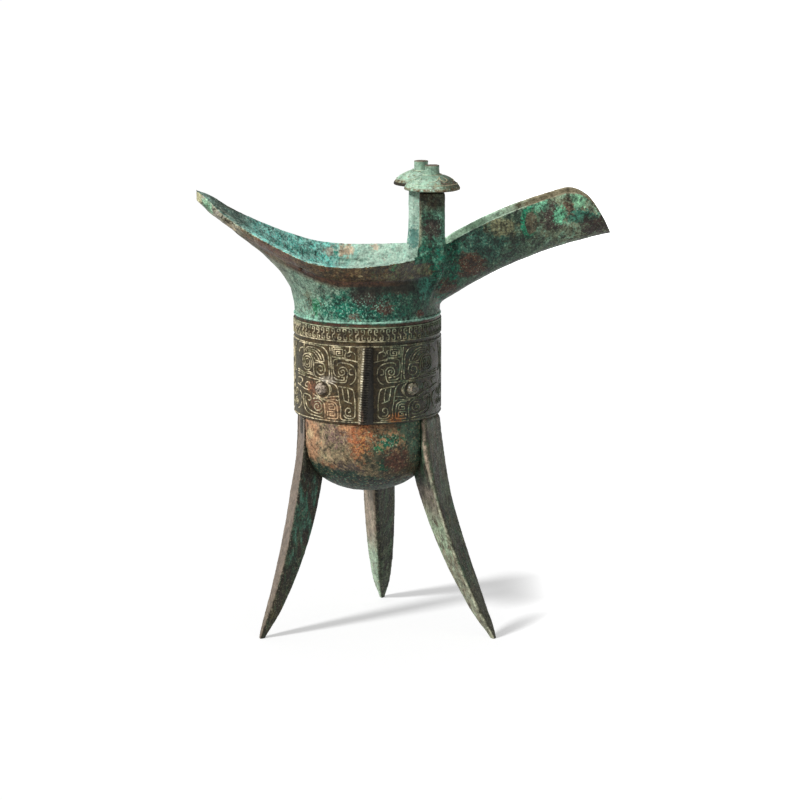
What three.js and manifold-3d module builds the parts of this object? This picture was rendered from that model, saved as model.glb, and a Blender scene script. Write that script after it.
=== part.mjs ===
// A Chinese ritual bronze wine vessel of the jue kind: a round-bottomed cup with a flaring mouth that runs
// out into a channel spout on one side and a pointed tail on the other, two capped posts on the rim, a strap
// handle with an ox head at the back, and three blade legs. Millimetres, +Z up, the spout along +X and the
// handle along +Y. The floor is z = 0, and the origin is under the middle of the object's outline.
import * as THREE from "three";
import { mergeVertices } from "three/addons/utils/BufferGeometryUtils.js";
import Module from "manifold-3d";

const wasm = await Module();
wasm.setup();

// Clearance that every piece keeps to the piece it seats on
const GAP = 0.3;

// Cup: the round wall and bottom, which the band's lower edge stands over
const CUP_RADIUS = 30.7;
const CUP_WALL = 2.3;
const CUP_DROP = 34.9;
const CUP_STRAIGHT = 8;
const CUP_SIDE_FULLNESS = 0.4;
const CUP_BOTTOM_FULLNESS = 0.6;

// Band of mask ornament: a raised sleeve round the cup that covers the seam under the mouth
const BAND_BOTTOM_Z = 97.5;
const BAND_HEIGHT = 43.5;
const BAND_PROUD = 1.2;
const BAND_THICKNESS = 1.5;
const BAND_COVER = 4;
const HOOK_STRIP_HEIGHT = 8.5;
const BAND_GROOVE = 0.4;
const BAND_GROOVE_HEIGHT = 0.8;

// Mouth: the neck above the band, flaring to a lip that runs out into the tail
const NECK_RADIUS = 31.6;
const NECK_WALL = 2.2;
const NECK_STRAIGHT = 3.5;
const NECK_START_SHARE = 0.36;
const MOUTH_HEIGHT = 24.6;
const MOUTH_HALF_WIDTH = 36.2;
const MOUTH_FRONT_REACH = 33.2;
const FLARE_SIDE_LENGTH = 7;
const FLARE_SIDE_SLOPE = 62;
const FLARE_TAIL_LENGTH = 29;
const FLARE_TAIL_SLOPE = 41;
const LIP_HEIGHT = 5.5;
const LIP_PROUD = 0.7;
const TAIL_REACH = 73.8;
const TAIL_RISE = 28;
const TAIL_TIP_THICKNESS = 4.2;
// Half of the rim seen from above, on the spout's side: shares of the reach, the half-width and the tail's rise
const RIM_FRONT = [
  [1, 0, 0.225],
  [0.89, 0.395, 0.14],
  [0.6, 0.72, 0.065],
  [0.15, 0.926, 0.01],
];
// The same from the widest place to the tail's tip
const RIM_TAIL = [
  [0.136, 1, 0],
  [0.312, 0.956, 0.064],
  [0.474, 0.79, 0.225],
  [0.65, 0.586, 0.446],
  [0.786, 0.4, 0.65],
  [0.894, 0.23, 0.836],
  [0.969, 0.105, 0.957],
  [1, 0.03, 1],
];
const RIM_STEPS = 28;
const TAIL_SEAM_SHARE = 0.627;
const TAIL_LAP = 4;
const TAIL_LAP_DEPTH = 1;

// Spout: an open channel that leaves the neck between the posts
const SPOUT_REACH = 105.2;
const SPOUT_ROOT_RISE = 4.1;
const SPOUT_TIP_RISE = 30.6;
const SPOUT_BEND_SHARE = 0.455;
const SPOUT_BEND_RISE = 22.7;
const SPOUT_EDGE_START = 2.8;
const SPOUT_EDGE_RISE = 6.9;
const SPOUT_EDGE_BEND_SHARE = 0.37;
const SPOUT_EDGE_BEND_RISE = 12.5;
const SPOUT_MOUTH_HEIGHT = 18.8;
const SPOUT_MOUTH_SLANT = 19.4;
const SPOUT_DEPTH_ROOT = 20;
const SPOUT_DEPTH_END = 17;
const SPOUT_HALF_WIDTH_ROOT = 13;
const SPOUT_HALF_WIDTH_END = 10;
const SPOUT_BULGE = 0.8;
const SPOUT_WALL = 2.1;

// Posts on the rim, one each side of the spout's root: the front one and the back one
const POST_WIDTH = 11;
const POST_WIDTH_FOOT = 13;
const POST_DEPTH = 6.6;
const POST_CORNER = 1.6;
const POST_GRIP = 1.6;
const POST_FOOT_HEIGHT = 10;
const POST_FRONT_X = 27.9;
const POST_FRONT_Y = -15.4;
const POST_FRONT_HEIGHT = 29.6;
const POST_BACK_X = 23.4;
const POST_BACK_Y = 15.6;
const POST_BACK_HEIGHT = 28.2;
const TENON_WIDTH = 5.4;
const TENON_DEPTH = 3.4;
const TENON_LENGTH = 2.4;

// Cap and finial on each post
const CAP_RADIUS = 12.2;
const CAP_EDGE = 0.9;
const CAP_HEIGHT = 7.9;
const CAP_FULLNESS = 0.68;
const FINIAL_RADIUS = 3.2;
const FINIAL_WAIST_RADIUS = 2.7;
const FINIAL_HEIGHT = 3.5;
const PIN_RADIUS = 1.5;
const PIN_LENGTH = 1.8;

// Legs: blades of triangular section with the flat face outwards, let into the cup's wall at their roots.
// Each has the direction that its face looks in, and its tip's direction and reach (degrees from the spout).
const LEG_ROOT_SINK = 0.1;
const LEG_ROOT_DEPTH = 0.8;
const LEG_HALF_WIDTH = 7;
const LEG_DEPTH = 12.2;
const LEG_TIP_HALF_WIDTH = 1.6;
const LEG_TIP_DEPTH = 3.2;
const LEG_EDGE = 0.5;
const LEG_WIDTH_POWER = 3.2;
const LEG_DEPTH_POWER = 2.7;
const LEG_STEPS = 14;
const LEG_FRONT_LEFT_FACING = 194.5;
const LEG_FRONT_LEFT_ANGLE = 204;
const LEG_FRONT_LEFT_REACH = 51.8;
const LEG_FRONT_LEFT_SPLAY = 1.85;
const LEG_FRONT_RIGHT_FACING = -27;
const LEG_FRONT_RIGHT_ANGLE = -20.8;
const LEG_FRONT_RIGHT_REACH = 60;
const LEG_FRONT_RIGHT_SPLAY = 1.5;
const LEG_BACK_FACING = 81.5;
const LEG_BACK_ANGLE = 82.9;
const LEG_BACK_REACH = 49;
const LEG_BACK_SPLAY = 1.7;

// Flange down the middle of the front mask, and the masks' eyes
const FLANGE_WIDTH = 3.2;
const FLANGE_PROUD = 3;
const FLANGE_NOTCH = 1.1;
const FLANGE_TEETH = 5;
const EYE_RADIUS = 2.7;
const EYE_PROUD = 2.1;
const EYE_ANGLE = 37.6;
const EYE_HEIGHT_SHARE = 0.33;

// Handle at the back, with the ox head on its upper bend
const HANDLE_MIDDLE_SHARE = 0.47;
const HANDLE_REACH = 20.5;
const HANDLE_HALF_HEIGHT = 17;
const HANDLE_WIDTH = 9;
const HANDLE_THICKNESS = 3.6;
const HANDLE_SQUARENESS = 0.86;
const HANDLE_STEPS = 20;
const HEAD_HALF_WIDTH = 6.4;
const HEAD_HEIGHT = 6.5;
const HEAD_LENGTH = 20;
const HEAD_FALL = 7.6;
const HORN_RADIUS = 1.8;
const HORN_TIP_RADIUS = 0.7;
const HORN_SEAT = 1.6;
const HORN_HEIGHT = 8;
const HORN_SPREAD = 9.2;

const AROUND = 56;
const CAP_AROUND = 32;

const bandOuter = CUP_RADIUS + BAND_PROUD;
const bandInner = bandOuter - BAND_THICKNESS;
const seatRadius = bandInner - GAP;
const cupInner = CUP_RADIUS - CUP_WALL;
const cupBottomZ = BAND_BOTTOM_Z - CUP_DROP;
const cupCurveZ = BAND_BOTTOM_Z - CUP_STRAIGHT;
const bandTopZ = BAND_BOTTOM_Z + BAND_HEIGHT;
const bandSplitZ = bandTopZ - HOOK_STRIP_HEIGHT;
const seamZ = bandTopZ - BAND_COVER;
const waistZ = bandTopZ + NECK_STRAIGHT;
const rimZ = bandTopZ + MOUTH_HEIGHT;
const eyeZ = BAND_BOTTOM_Z + BAND_HEIGHT * EYE_HEIGHT_SHARE;
const handleZ = BAND_BOTTOM_Z + BAND_HEIGHT * HANDLE_MIDDLE_SHARE;
const aboveAll = rimZ + TAIL_RISE + 20;

const mix = (a, b, t) => a + (b - a) * t;
const clamp01 = (t) => Math.min(1, Math.max(0, t));
const rad = (degrees) => (degrees * Math.PI) / 180;

// Turns a closed geometry into a solid for cutting and joining
function solid(geometry) {
  const plain = geometry.clone();
  plain.deleteAttribute("normal");
  plain.deleteAttribute("uv");
  const merged = mergeVertices(plain, 1e-4);
  return new wasm.Manifold(
    new wasm.Mesh({
      numProp: 3,
      vertProperties: merged.attributes.position.array,
      triVerts: new Uint32Array(merged.index.array),
    }),
  );
}

// A solid from a list of triangles' corners, turned right side out
function solidFrom(corners) {
  const build = (list) => {
    const geometry = new THREE.BufferGeometry();
    geometry.setAttribute("position", new THREE.Float32BufferAttribute(list.flat(), 3));
    return solid(geometry);
  };
  const body = build(corners);
  if (body.volume() > 0) return body;
  const turnedOver = [];
  for (let i = 0; i < corners.length; i += 3) turnedOver.push(corners[i], corners[i + 2], corners[i + 1]);
  return build(turnedOver);
}

// Stacks closed rings of points into a solid, with a fan of triangles over each end
function stacked(rings) {
  const corners = [];
  const count = rings[0].length;
  for (let i = 0; i + 1 < rings.length; i++) {
    for (let j = 0; j < count; j++) {
      const k = (j + 1) % count;
      corners.push(rings[i][j], rings[i][k], rings[i + 1][k]);
      corners.push(rings[i][j], rings[i + 1][k], rings[i + 1][j]);
    }
  }
  const middle = (ring) => [0, 1, 2].map((axis) => ring.reduce((sum, p) => sum + p[axis], 0) / count);
  const first = rings[0];
  const last = rings[rings.length - 1];
  for (let j = 0; j < count; j++) {
    const k = (j + 1) % count;
    corners.push(middle(first), first[k], first[j]);
    corners.push(middle(last), last[j], last[k]);
  }
  return solidFrom(corners);
}

// A solid turned about +Z from an outline of [radius, z] points that starts and ends on the axis, or closes
// on itself
function turned(outline, segments = AROUND) {
  const points = outline.map(([radius, z]) => new THREE.Vector2(radius, z));
  if (outline[0][0] > 0) points.push(points[0].clone());
  const lathe = new THREE.LatheGeometry(points, segments);
  lathe.rotateX(Math.PI / 2);
  const p = lathe.attributes.position;
  const corner = (i) => [p.getX(i), p.getY(i), p.getZ(i)];
  return solidFrom(Array.from(lathe.index.array, corner));
}

// A plate of constant thickness from an outline in the XZ plane
function plateXZ(shape, fromY, toY) {
  const plate = new THREE.ExtrudeGeometry(shape, { depth: toY - fromY, bevelEnabled: false, curveSegments: 16 });
  plate.rotateX(Math.PI / 2);
  plate.translate(0, toY, 0);
  return solid(plate);
}

function box(fromX, toX, fromY, toY, fromZ, toZ) {
  const block = new THREE.BoxGeometry(toX - fromX, toY - fromY, toZ - fromZ);
  block.translate((fromX + toX) / 2, (fromY + toY) / 2, (fromZ + toZ) / 2);
  return solid(block);
}

// The cup's outside below the band, from the bottom's middle up, grown by a distance
function cupSide(grown) {
  const radius = CUP_RADIUS + grown;
  const curve = new THREE.CubicBezierCurve(
    new THREE.Vector2(0, cupBottomZ - grown),
    new THREE.Vector2(radius * CUP_BOTTOM_FULLNESS, cupBottomZ - grown),
    new THREE.Vector2(radius, mix(cupBottomZ, cupCurveZ, CUP_SIDE_FULLNESS)),
    new THREE.Vector2(radius, cupCurveZ),
  );
  return curve.getPoints(10).map((p) => [p.x, p.y]);
}

// The cup as a solid up to a height, grown by a distance
function cupSpace(grown, topZ) {
  return turned([...cupSide(grown), [CUP_RADIUS + grown, topZ], [0, topZ]]);
}

// The cup, with a pocket in its wall for each leg's root
function makeBowl() {
  const bowl = turned([
    ...cupSide(0),
    [CUP_RADIUS, BAND_BOTTOM_Z - GAP],
    [seatRadius, BAND_BOTTOM_Z - GAP],
    [seatRadius, seamZ],
    [cupInner, seamZ],
    ...cupSide(-CUP_WALL).reverse(),
  ]);
  const floorOfPockets = cupSpace(-LEG_ROOT_DEPTH - GAP, BAND_BOTTOM_Z);
  return LEGS.reduce((body, leg) => body.subtract(legSpace(leg, GAP).subtract(floorOfPockets)), bowl);
}

function makeBand() {
  const groove = bandOuter - BAND_GROOVE;
  return turned([
    [bandInner, BAND_BOTTOM_Z],
    [bandOuter, BAND_BOTTOM_Z],
    [bandOuter, bandSplitZ - BAND_GROOVE_HEIGHT],
    [groove, bandSplitZ - BAND_GROOVE_HEIGHT / 2],
    [bandOuter, bandSplitZ],
    [bandOuter, bandTopZ],
    [bandInner, bandTopZ],
  ]);
}

// How far a place on the rim lies towards the tail's tip, from 0 to 1
const tailShare = (x) => clamp01((-x / TAIL_REACH - RIM_TAIL[0][0]) / (1 - RIM_TAIL[0][0]));

// The rim's outline at an inset, right round
function mouthRim(inset) {
  const point = (reach) => ([along, across, rise]) =>
    new THREE.Vector3(reach * along, MOUTH_HALF_WIDTH * across, rimZ + TAIL_RISE * rise);
  const outline = new THREE.CatmullRomCurve3(
    [...RIM_FRONT.map(point(MOUTH_FRONT_REACH)), ...RIM_TAIL.map(point(-TAIL_REACH))],
    false,
    "centripetal",
  );
  const half = [];
  for (let i = 0; i <= RIM_STEPS; i++) {
    const p = outline.getPoint(i / RIM_STEPS);
    const along = outline.getTangent(i / RIM_STEPS);
    const length = Math.hypot(along.x, along.y);
    const towardsTip = tailShare(p.x);
    half.push([
      p.x - (along.y / length) * inset * (1 + towardsTip ** 4),
      i === 0 ? 0 : Math.max(GAP, p.y + (along.x / length) * inset),
      p.z + inset * 0.9 * towardsTip,
    ]);
  }
  return [...half, ...half.slice(1).reverse().map(([x, y, z]) => [x, -y, z])];
}

// A point of the mouth's surface under a point of its rim, at a share of the way up from the waist. Each
// column of the surface lies in a plane through the cup's axis.
function mouthColumn([x, y, z], inset, share) {
  const reach = Math.hypot(x, y);
  const turn = Math.atan2(y, x);
  const towardsTip = tailShare(x);
  const top = z - TAIL_TIP_THICKNESS * towardsTip ** 3;
  const slope = rad(mix(FLARE_SIDE_SLOPE, FLARE_TAIL_SLOPE, towardsTip));
  const length = mix(FLARE_SIDE_LENGTH, FLARE_TAIL_LENGTH, towardsTip ** 0.8);
  const waist = NECK_RADIUS - inset;
  const curve = new THREE.CubicBezierCurve(
    new THREE.Vector2(waist, waistZ),
    new THREE.Vector2(waist, mix(waistZ, top, NECK_START_SHARE)),
    new THREE.Vector2(reach - length * Math.cos(slope), top - length * Math.sin(slope)),
    new THREE.Vector2(reach, top),
  );
  const p = curve.getPoint(share);
  return [p.x * Math.cos(turn), p.x * Math.sin(turn), p.y];
}

// The whole space inside the mouth's surface at an inset, from a round bottom up. The lip's border stands
// proud of it by a distance. With a lift, the space goes on straight up above the rim.
function mouthSpace({ inset = 0, proud = 0, lift = 0, bottomRadius, bottomZ, ledgeZ }) {
  const rim = mouthRim(inset);
  const edge = mouthRim(inset - proud);
  const circle = (radius, z) =>
    rim.map(([x, y]) => {
      const turn = Math.atan2(y, x);
      return [radius * Math.cos(turn), radius * Math.sin(turn), z];
    });
  const rings = [circle(bottomRadius, bottomZ)];
  if (ledgeZ) rings.push(circle(bottomRadius, ledgeZ), circle(NECK_RADIUS - inset, ledgeZ));
  const lipShare = ([, , z]) => 1 - LIP_HEIGHT / (z - waistZ + LIP_HEIGHT);
  for (const share of [0, 0.2, 0.4, 0.6, 0.8, 1]) {
    rings.push(rim.map((point) => mouthColumn(point, inset, share * lipShare(point))));
  }
  if (proud > 0) rings.push(edge.map((point) => mouthColumn(point, inset - proud, lipShare(point))));
  for (const share of [0.5, 1]) {
    rings.push(edge.map((point) => mouthColumn(point, inset - proud, mix(lipShare(point), 1, share))));
  }
  rings.push(edge.map(([x, y, z]) => [x, y, z + TAIL_TIP_THICKNESS * (1 - tailShare(x) ** 3) * 0.05]));
  if (lift > 0) rings.push(edge.map(([x, y, z]) => [x, y, z + lift]));
  return stacked(rings);
}

const spoutRootZ = bandTopZ + SPOUT_ROOT_RISE;
const spoutTipZ = spoutRootZ + SPOUT_TIP_RISE;

// The lower half of the channel's section is a half-ellipse; the whole spout is a bent elliptical tube that
// the side view's outline opens at the top and at the end
function spoutTube(inset) {
  const keel = new THREE.QuadraticBezierCurve(
    new THREE.Vector2(NECK_RADIUS, spoutRootZ),
    new THREE.Vector2(mix(NECK_RADIUS, SPOUT_REACH, SPOUT_BEND_SHARE), spoutRootZ + SPOUT_BEND_RISE),
    new THREE.Vector2(SPOUT_REACH, spoutTipZ),
  );
  const rings = [];
  for (let i = 0; i <= 12; i++) {
    const t = mix(-0.17, 1.12, i / 12);
    const p = keel.getPoint(t);
    const within = clamp01(t);
    const straight = mix(SPOUT_HALF_WIDTH_ROOT, SPOUT_HALF_WIDTH_END, within);
    const halfWidth = straight + SPOUT_BULGE * 4 * within * (1 - within) - inset;
    const halfDepth = mix(SPOUT_DEPTH_ROOT, SPOUT_DEPTH_END, within);
    const ring = [];
    for (let j = 0; j < 28; j++) {
      const turn = (j / 28) * 2 * Math.PI;
      ring.push([p.x, halfWidth * Math.sin(turn), p.y + halfDepth - (halfDepth - inset) * Math.cos(turn)]);
    }
    rings.push(ring);
  }
  return stacked(rings);
}

// The spout's outline from the side, grown by a distance
function spoutSide(grown) {
  const cornerX = SPOUT_REACH - SPOUT_MOUTH_SLANT;
  const cornerZ = spoutTipZ + SPOUT_MOUTH_HEIGHT + grown;
  const startX = NECK_RADIUS + SPOUT_EDGE_START;
  const startZ = rimZ + SPOUT_EDGE_RISE + grown;
  const insideX = NECK_RADIUS / 2;
  const endX = SPOUT_REACH + grown;
  const shape = new THREE.Shape();
  shape.moveTo(insideX, BAND_BOTTOM_Z);
  shape.lineTo(endX, BAND_BOTTOM_Z);
  shape.lineTo(endX, spoutTipZ);
  shape.bezierCurveTo(
    endX - SPOUT_MOUTH_SLANT * 0.22,
    spoutTipZ + SPOUT_MOUTH_HEIGHT * 0.56 + grown,
    endX - SPOUT_MOUTH_SLANT * 0.52,
    cornerZ + SPOUT_MOUTH_HEIGHT * 0.05,
    cornerX,
    cornerZ,
  );
  shape.quadraticCurveTo(
    mix(startX, cornerX, SPOUT_EDGE_BEND_SHARE),
    startZ + SPOUT_EDGE_BEND_RISE,
    startX,
    startZ,
  );
  shape.lineTo(insideX, rimZ);
  return plateXZ(shape, -2 * SPOUT_HALF_WIDTH_ROOT, 2 * SPOUT_HALF_WIDTH_ROOT);
}

const mouthInside = mouthSpace({ inset: NECK_WALL, lift: 20, bottomRadius: cupInner, bottomZ: seamZ - 5 });
const spoutOutside = spoutTube(0);

function makeMouth() {
  const outside = mouthSpace({
    proud: LIP_PROUD,
    bottomRadius: seatRadius,
    bottomZ: seamZ + GAP,
    ledgeZ: bandTopZ + GAP,
  });
  const passage = spoutTube(-GAP);
  return outside.subtract(mouthInside).subtract(passage);
}

// The tail laps over the neck: the inner part of its wall reaches under a step in the neck's wall
function splitMouth(mouth) {
  const seamX = -TAIL_REACH * TAIL_SEAM_SHARE;
  const slab = (fromX, toX) =>
    box(fromX, toX, -2 * MOUTH_HALF_WIDTH, 2 * MOUTH_HALF_WIDTH, BAND_BOTTOM_Z, aboveAll);
  const within = (inset) =>
    mouthSpace({ inset, lift: 20, bottomRadius: NECK_RADIUS - inset, bottomZ: BAND_BOTTOM_Z });
  const beyond = -2 * TAIL_REACH;
  const lapZone = slab(seamX - TAIL_LAP, seamX);
  const neck = mouth.subtract(slab(beyond, seamX - TAIL_LAP)).subtract(lapZone.intersect(within(TAIL_LAP_DEPTH)));
  const tongueZone = slab(seamX - TAIL_LAP - 2 * GAP, seamX - GAP);
  const tongue = mouth.intersect(tongueZone).intersect(within(TAIL_LAP_DEPTH + GAP));
  const tail = mouth.intersect(slab(beyond, seamX - TAIL_LAP - GAP)).add(tongue);
  return { neck, tail };
}

function makeSpout() {
  return spoutOutside.subtract(spoutTube(SPOUT_WALL)).intersect(spoutSide(0)).subtract(mouthInside);
}

// A rectangle with cut corners, centred on a point
function cutRectangle(x, y, z, width, depth, corner) {
  const w = width / 2;
  const d = depth / 2;
  return [
    [x - w + corner, y - d, z],
    [x + w - corner, y - d, z],
    [x + w, y - d + corner, z],
    [x + w, y + d - corner, z],
    [x + w - corner, y + d, z],
    [x - w + corner, y + d, z],
    [x - w, y + d - corner, z],
    [x - w, y - d + corner, z],
  ];
}

// A post sits astride the rim, against the side of the spout
function makePost({ x, y, capZ }) {
  const section = (z, width) => cutRectangle(x, y, z, width, POST_DEPTH, POST_CORNER);
  const footZ = rimZ - POST_GRIP;
  const waist = footZ + POST_FOOT_HEIGHT;
  const shaft = stacked([
    section(footZ, POST_WIDTH_FOOT),
    section(mix(footZ, waist, 0.6), POST_WIDTH_FOOT - 0.4),
    section(waist, POST_WIDTH + 0.3),
    section(mix(waist, capZ, 0.3), POST_WIDTH),
    section(capZ - GAP, POST_WIDTH),
  ]);
  const tenon = tenonSpace(x, y, capZ, 0);
  const outsideGrown = mouthSpace({
    inset: -GAP,
    proud: LIP_PROUD,
    lift: GAP,
    bottomRadius: NECK_RADIUS + GAP,
    bottomZ: bandTopZ,
  });
  const insideShrunk = mouthSpace({
    inset: NECK_WALL + GAP,
    lift: 20,
    bottomRadius: cupInner - GAP,
    bottomZ: seamZ - 6,
  });
  const wallGrown = outsideGrown.subtract(insideShrunk);
  const spoutGrown = spoutTube(-GAP).intersect(spoutSide(GAP));
  return largest(shaft.add(tenon).subtract(wallGrown).subtract(spoutGrown));
}

function tenonSpace(x, y, capZ, grown) {
  const w = TENON_WIDTH / 2 + grown;
  const d = TENON_DEPTH / 2 + grown;
  return box(x - w, x + w, y - d, y + d, capZ - 1, capZ + TENON_LENGTH + grown);
}

function makeCap({ x, y, capZ }) {
  const top = capZ + CAP_HEIGHT;
  const dome = new THREE.QuadraticBezierCurve(
    new THREE.Vector2(CAP_RADIUS, capZ + CAP_EDGE),
    new THREE.Vector2(CAP_RADIUS * CAP_FULLNESS, capZ + CAP_HEIGHT * CAP_FULLNESS),
    new THREE.Vector2(FINIAL_RADIUS + 0.2, top),
  );
  const outline = [
    [0, capZ],
    [CAP_RADIUS - CAP_EDGE, capZ],
    [CAP_RADIUS, capZ + CAP_EDGE / 2],
    ...dome.getPoints(7).map((p) => [p.x, p.y]),
    [0, top],
  ];
  const pin = [
    [0, top - PIN_LENGTH - GAP],
    [PIN_RADIUS + GAP, top - PIN_LENGTH - GAP],
    [PIN_RADIUS + GAP, top + 1],
    [0, top + 1],
  ];
  const cap = turned(outline, CAP_AROUND).subtract(turned(pin, 12)).translate([x, y, 0]);
  return cap.subtract(tenonSpace(x, y, capZ, GAP));
}

function makeFinial({ x, y, capZ }) {
  const base = capZ + CAP_HEIGHT + GAP;
  const outline = [
    [0, base - GAP - PIN_LENGTH],
    [PIN_RADIUS, base - GAP - PIN_LENGTH],
    [PIN_RADIUS, base],
    [FINIAL_RADIUS, base],
    [FINIAL_WAIST_RADIUS, base + FINIAL_HEIGHT * 0.35],
    [FINIAL_RADIUS, base + FINIAL_HEIGHT * 0.75],
    [FINIAL_RADIUS * 0.75, base + FINIAL_HEIGHT],
    [0, base + FINIAL_HEIGHT],
  ];
  return turned(outline, 16).translate([x, y, 0]);
}

// A leg as a solid that isn't trimmed to the cup yet, grown by a distance
function legSpace({ facing, angle, reach, splay }, grown) {
  const out = new THREE.Vector2(Math.cos(rad(facing)), Math.sin(rad(facing)));
  const root = out.clone().multiplyScalar(CUP_RADIUS - LEG_ROOT_SINK);
  const tip = new THREE.Vector2(Math.cos(rad(angle)), Math.sin(rad(angle))).multiplyScalar(reach);
  const rings = [];
  for (let i = 0; i <= LEG_STEPS; i++) {
    const down = i / LEG_STEPS;
    const middle = root.clone().lerp(tip, down ** splay);
    const half = mix(LEG_HALF_WIDTH, LEG_TIP_HALF_WIDTH, down ** LEG_WIDTH_POWER) + grown;
    const depth = mix(LEG_DEPTH, LEG_TIP_DEPTH, down ** LEG_DEPTH_POWER) + grown;
    const outline = [
      [grown, -half + LEG_EDGE],
      [grown, half - LEG_EDGE],
      [grown - LEG_EDGE * 1.5, half],
      [-depth, LEG_EDGE],
      [-depth, -LEG_EDGE],
      [grown - LEG_EDGE * 1.5, -half],
    ];
    rings.push(
      outline.map(([outwards, side]) => [
        middle.x + outwards * out.x - side * out.y,
        middle.y + outwards * out.y + side * out.x,
        (BAND_BOTTOM_Z - 2 * GAP) * (1 - down) + (i === 0 ? grown : 0),
      ]),
    );
  }
  return stacked(rings);
}

function makeLeg(leg) {
  return largest(legSpace(leg, 0).subtract(cupSpace(-LEG_ROOT_DEPTH, BAND_BOTTOM_Z)));
}

function bandSpace(grown) {
  const radius = bandOuter + grown;
  const low = BAND_BOTTOM_Z - 10;
  return turned([[0, low], [radius, low], [radius, bandTopZ + 5], [0, bandTopZ + 5]]);
}

// A notched blade that stands on the band at the front
function makeFlange() {
  const bottom = BAND_BOTTOM_Z + GAP;
  const top = bandSplitZ - BAND_GROOVE_HEIGHT;
  const edge = bandOuter + FLANGE_PROUD;
  const pitch = (top - bottom) / FLANGE_TEETH;
  const shape = new THREE.Shape();
  shape.moveTo(bandOuter - 1, bottom);
  for (let i = 0; i < FLANGE_TEETH; i++) {
    const z = bottom + i * pitch;
    shape.lineTo(edge, z + (i === 0 ? 0 : pitch * 0.12));
    shape.lineTo(edge, z + pitch * 0.7);
    shape.lineTo(edge - FLANGE_NOTCH, z + pitch * 0.82);
    if (i + 1 < FLANGE_TEETH) shape.lineTo(edge - FLANGE_NOTCH, z + pitch);
  }
  shape.lineTo(bandOuter - 1, top);
  const blade = new THREE.ExtrudeGeometry(shape, { depth: FLANGE_WIDTH, bevelEnabled: false });
  blade.translate(0, 0, -FLANGE_WIDTH / 2);
  blade.rotateX(Math.PI / 2);
  blade.rotateZ(-Math.PI / 2);
  return solid(blade).subtract(bandSpace(GAP));
}

// The eye of a mask, at an angle round the cup (degrees from the spout's direction)
function makeEye(angle) {
  const ball = new THREE.SphereGeometry(1, 14, 8);
  ball.scale(EYE_PROUD, EYE_RADIUS, EYE_RADIUS);
  ball.translate(bandOuter + GAP, 0, eyeZ);
  ball.rotateZ(rad(angle));
  return solid(ball).subtract(bandSpace(GAP));
}

// The space inside the handle's arch, at a depth under its outer face
function archSpace(depth, width) {
  const shape = new THREE.Shape();
  const soften = (value) => Math.sign(value) * Math.abs(value) ** HANDLE_SQUARENESS;
  shape.moveTo(CUP_RADIUS - 2, handleZ - HANDLE_HALF_HEIGHT + depth);
  for (let i = 0; i <= HANDLE_STEPS; i++) {
    const turn = mix(-Math.PI / 2, Math.PI / 2, i / HANDLE_STEPS);
    shape.lineTo(
      CUP_RADIUS + (HANDLE_REACH - depth) * soften(Math.cos(turn)),
      handleZ + (HANDLE_HALF_HEIGHT - depth) * soften(Math.sin(turn)),
    );
  }
  shape.lineTo(CUP_RADIUS - 2, handleZ + HANDLE_HALF_HEIGHT - depth);
  const arch = new THREE.ExtrudeGeometry(shape, { depth: width, bevelEnabled: false });
  arch.translate(0, 0, -width / 2);
  arch.rotateX(Math.PI / 2);
  arch.rotateZ(Math.PI / 2);
  return solid(arch);
}

function strapSpace(grown) {
  const width = HANDLE_WIDTH + 2 * grown;
  return archSpace(-grown, width).subtract(archSpace(HANDLE_THICKNESS + grown, width + 2));
}

const headTopZ = handleZ + HANDLE_HALF_HEIGHT + HEAD_HEIGHT;

// The ox head: broad at the brow by the cup, narrow at the muzzle, which hangs over the strap's bend
function headSpace() {
  const start = bandOuter + GAP;
  const section = (along, share, drop) => {
    const w = HEAD_HALF_WIDTH * share;
    const y = start + HEAD_LENGTH * along;
    const top = headTopZ - HEAD_FALL * drop;
    const bottom = headTopZ - HEAD_HEIGHT - HANDLE_THICKNESS - HEAD_FALL * along;
    return [
      [-w * 0.6, y, top],
      [w * 0.6, y, top],
      [w, y, mix(top, bottom, 0.35)],
      [w, y, mix(top, bottom, 0.8)],
      [w * 0.7, y, bottom],
      [-w * 0.7, y, bottom],
      [-w, y, mix(top, bottom, 0.8)],
      [-w, y, mix(top, bottom, 0.35)],
    ];
  };
  return stacked([
    section(0, 0.86, 0.3),
    section(0.18, 1, 0),
    section(0.4, 0.96, 0.1),
    section(0.62, 0.74, 0.45),
    section(0.85, 0.78, 0.76),
    section(1, 0.66, 1),
  ]);
}

function hornSpace(side, grown) {
  const baseY = bandOuter + GAP + HEAD_LENGTH * 0.27;
  const path = new THREE.CubicBezierCurve3(
    new THREE.Vector3(side * HEAD_HALF_WIDTH * 0.56, baseY, headTopZ - HORN_SEAT),
    new THREE.Vector3(side * HEAD_HALF_WIDTH * 0.8, baseY, headTopZ + HORN_HEIGHT * 0.5),
    new THREE.Vector3(side * HORN_SPREAD * 1.14, baseY - 1.4, headTopZ + HORN_HEIGHT * 0.38),
    new THREE.Vector3(side * HORN_SPREAD, baseY - 2.4, headTopZ + HORN_HEIGHT),
  );
  const rings = [];
  for (let i = 0; i <= 8; i++) {
    const t = i / 8;
    const centre = path.getPoint(t);
    const along = path.getTangent(t);
    const across = new THREE.Vector3(0, 1, 0).cross(along).normalize();
    const up = along.clone().cross(across);
    const radius = mix(HORN_RADIUS, HORN_TIP_RADIUS, t) + grown;
    const ring = [];
    for (let j = 0; j < 10; j++) {
      const turn = (j / 10) * 2 * Math.PI;
      const p = centre.clone();
      p.addScaledVector(across, radius * Math.cos(turn)).addScaledVector(up, radius * Math.sin(turn));
      ring.push(p.toArray());
    }
    rings.push(ring);
  }
  if (grown > 0) rings.unshift(rings[0].map(([px, py, pz]) => [px - side * 0.1, py, pz - grown]));
  return stacked(rings);
}

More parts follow.
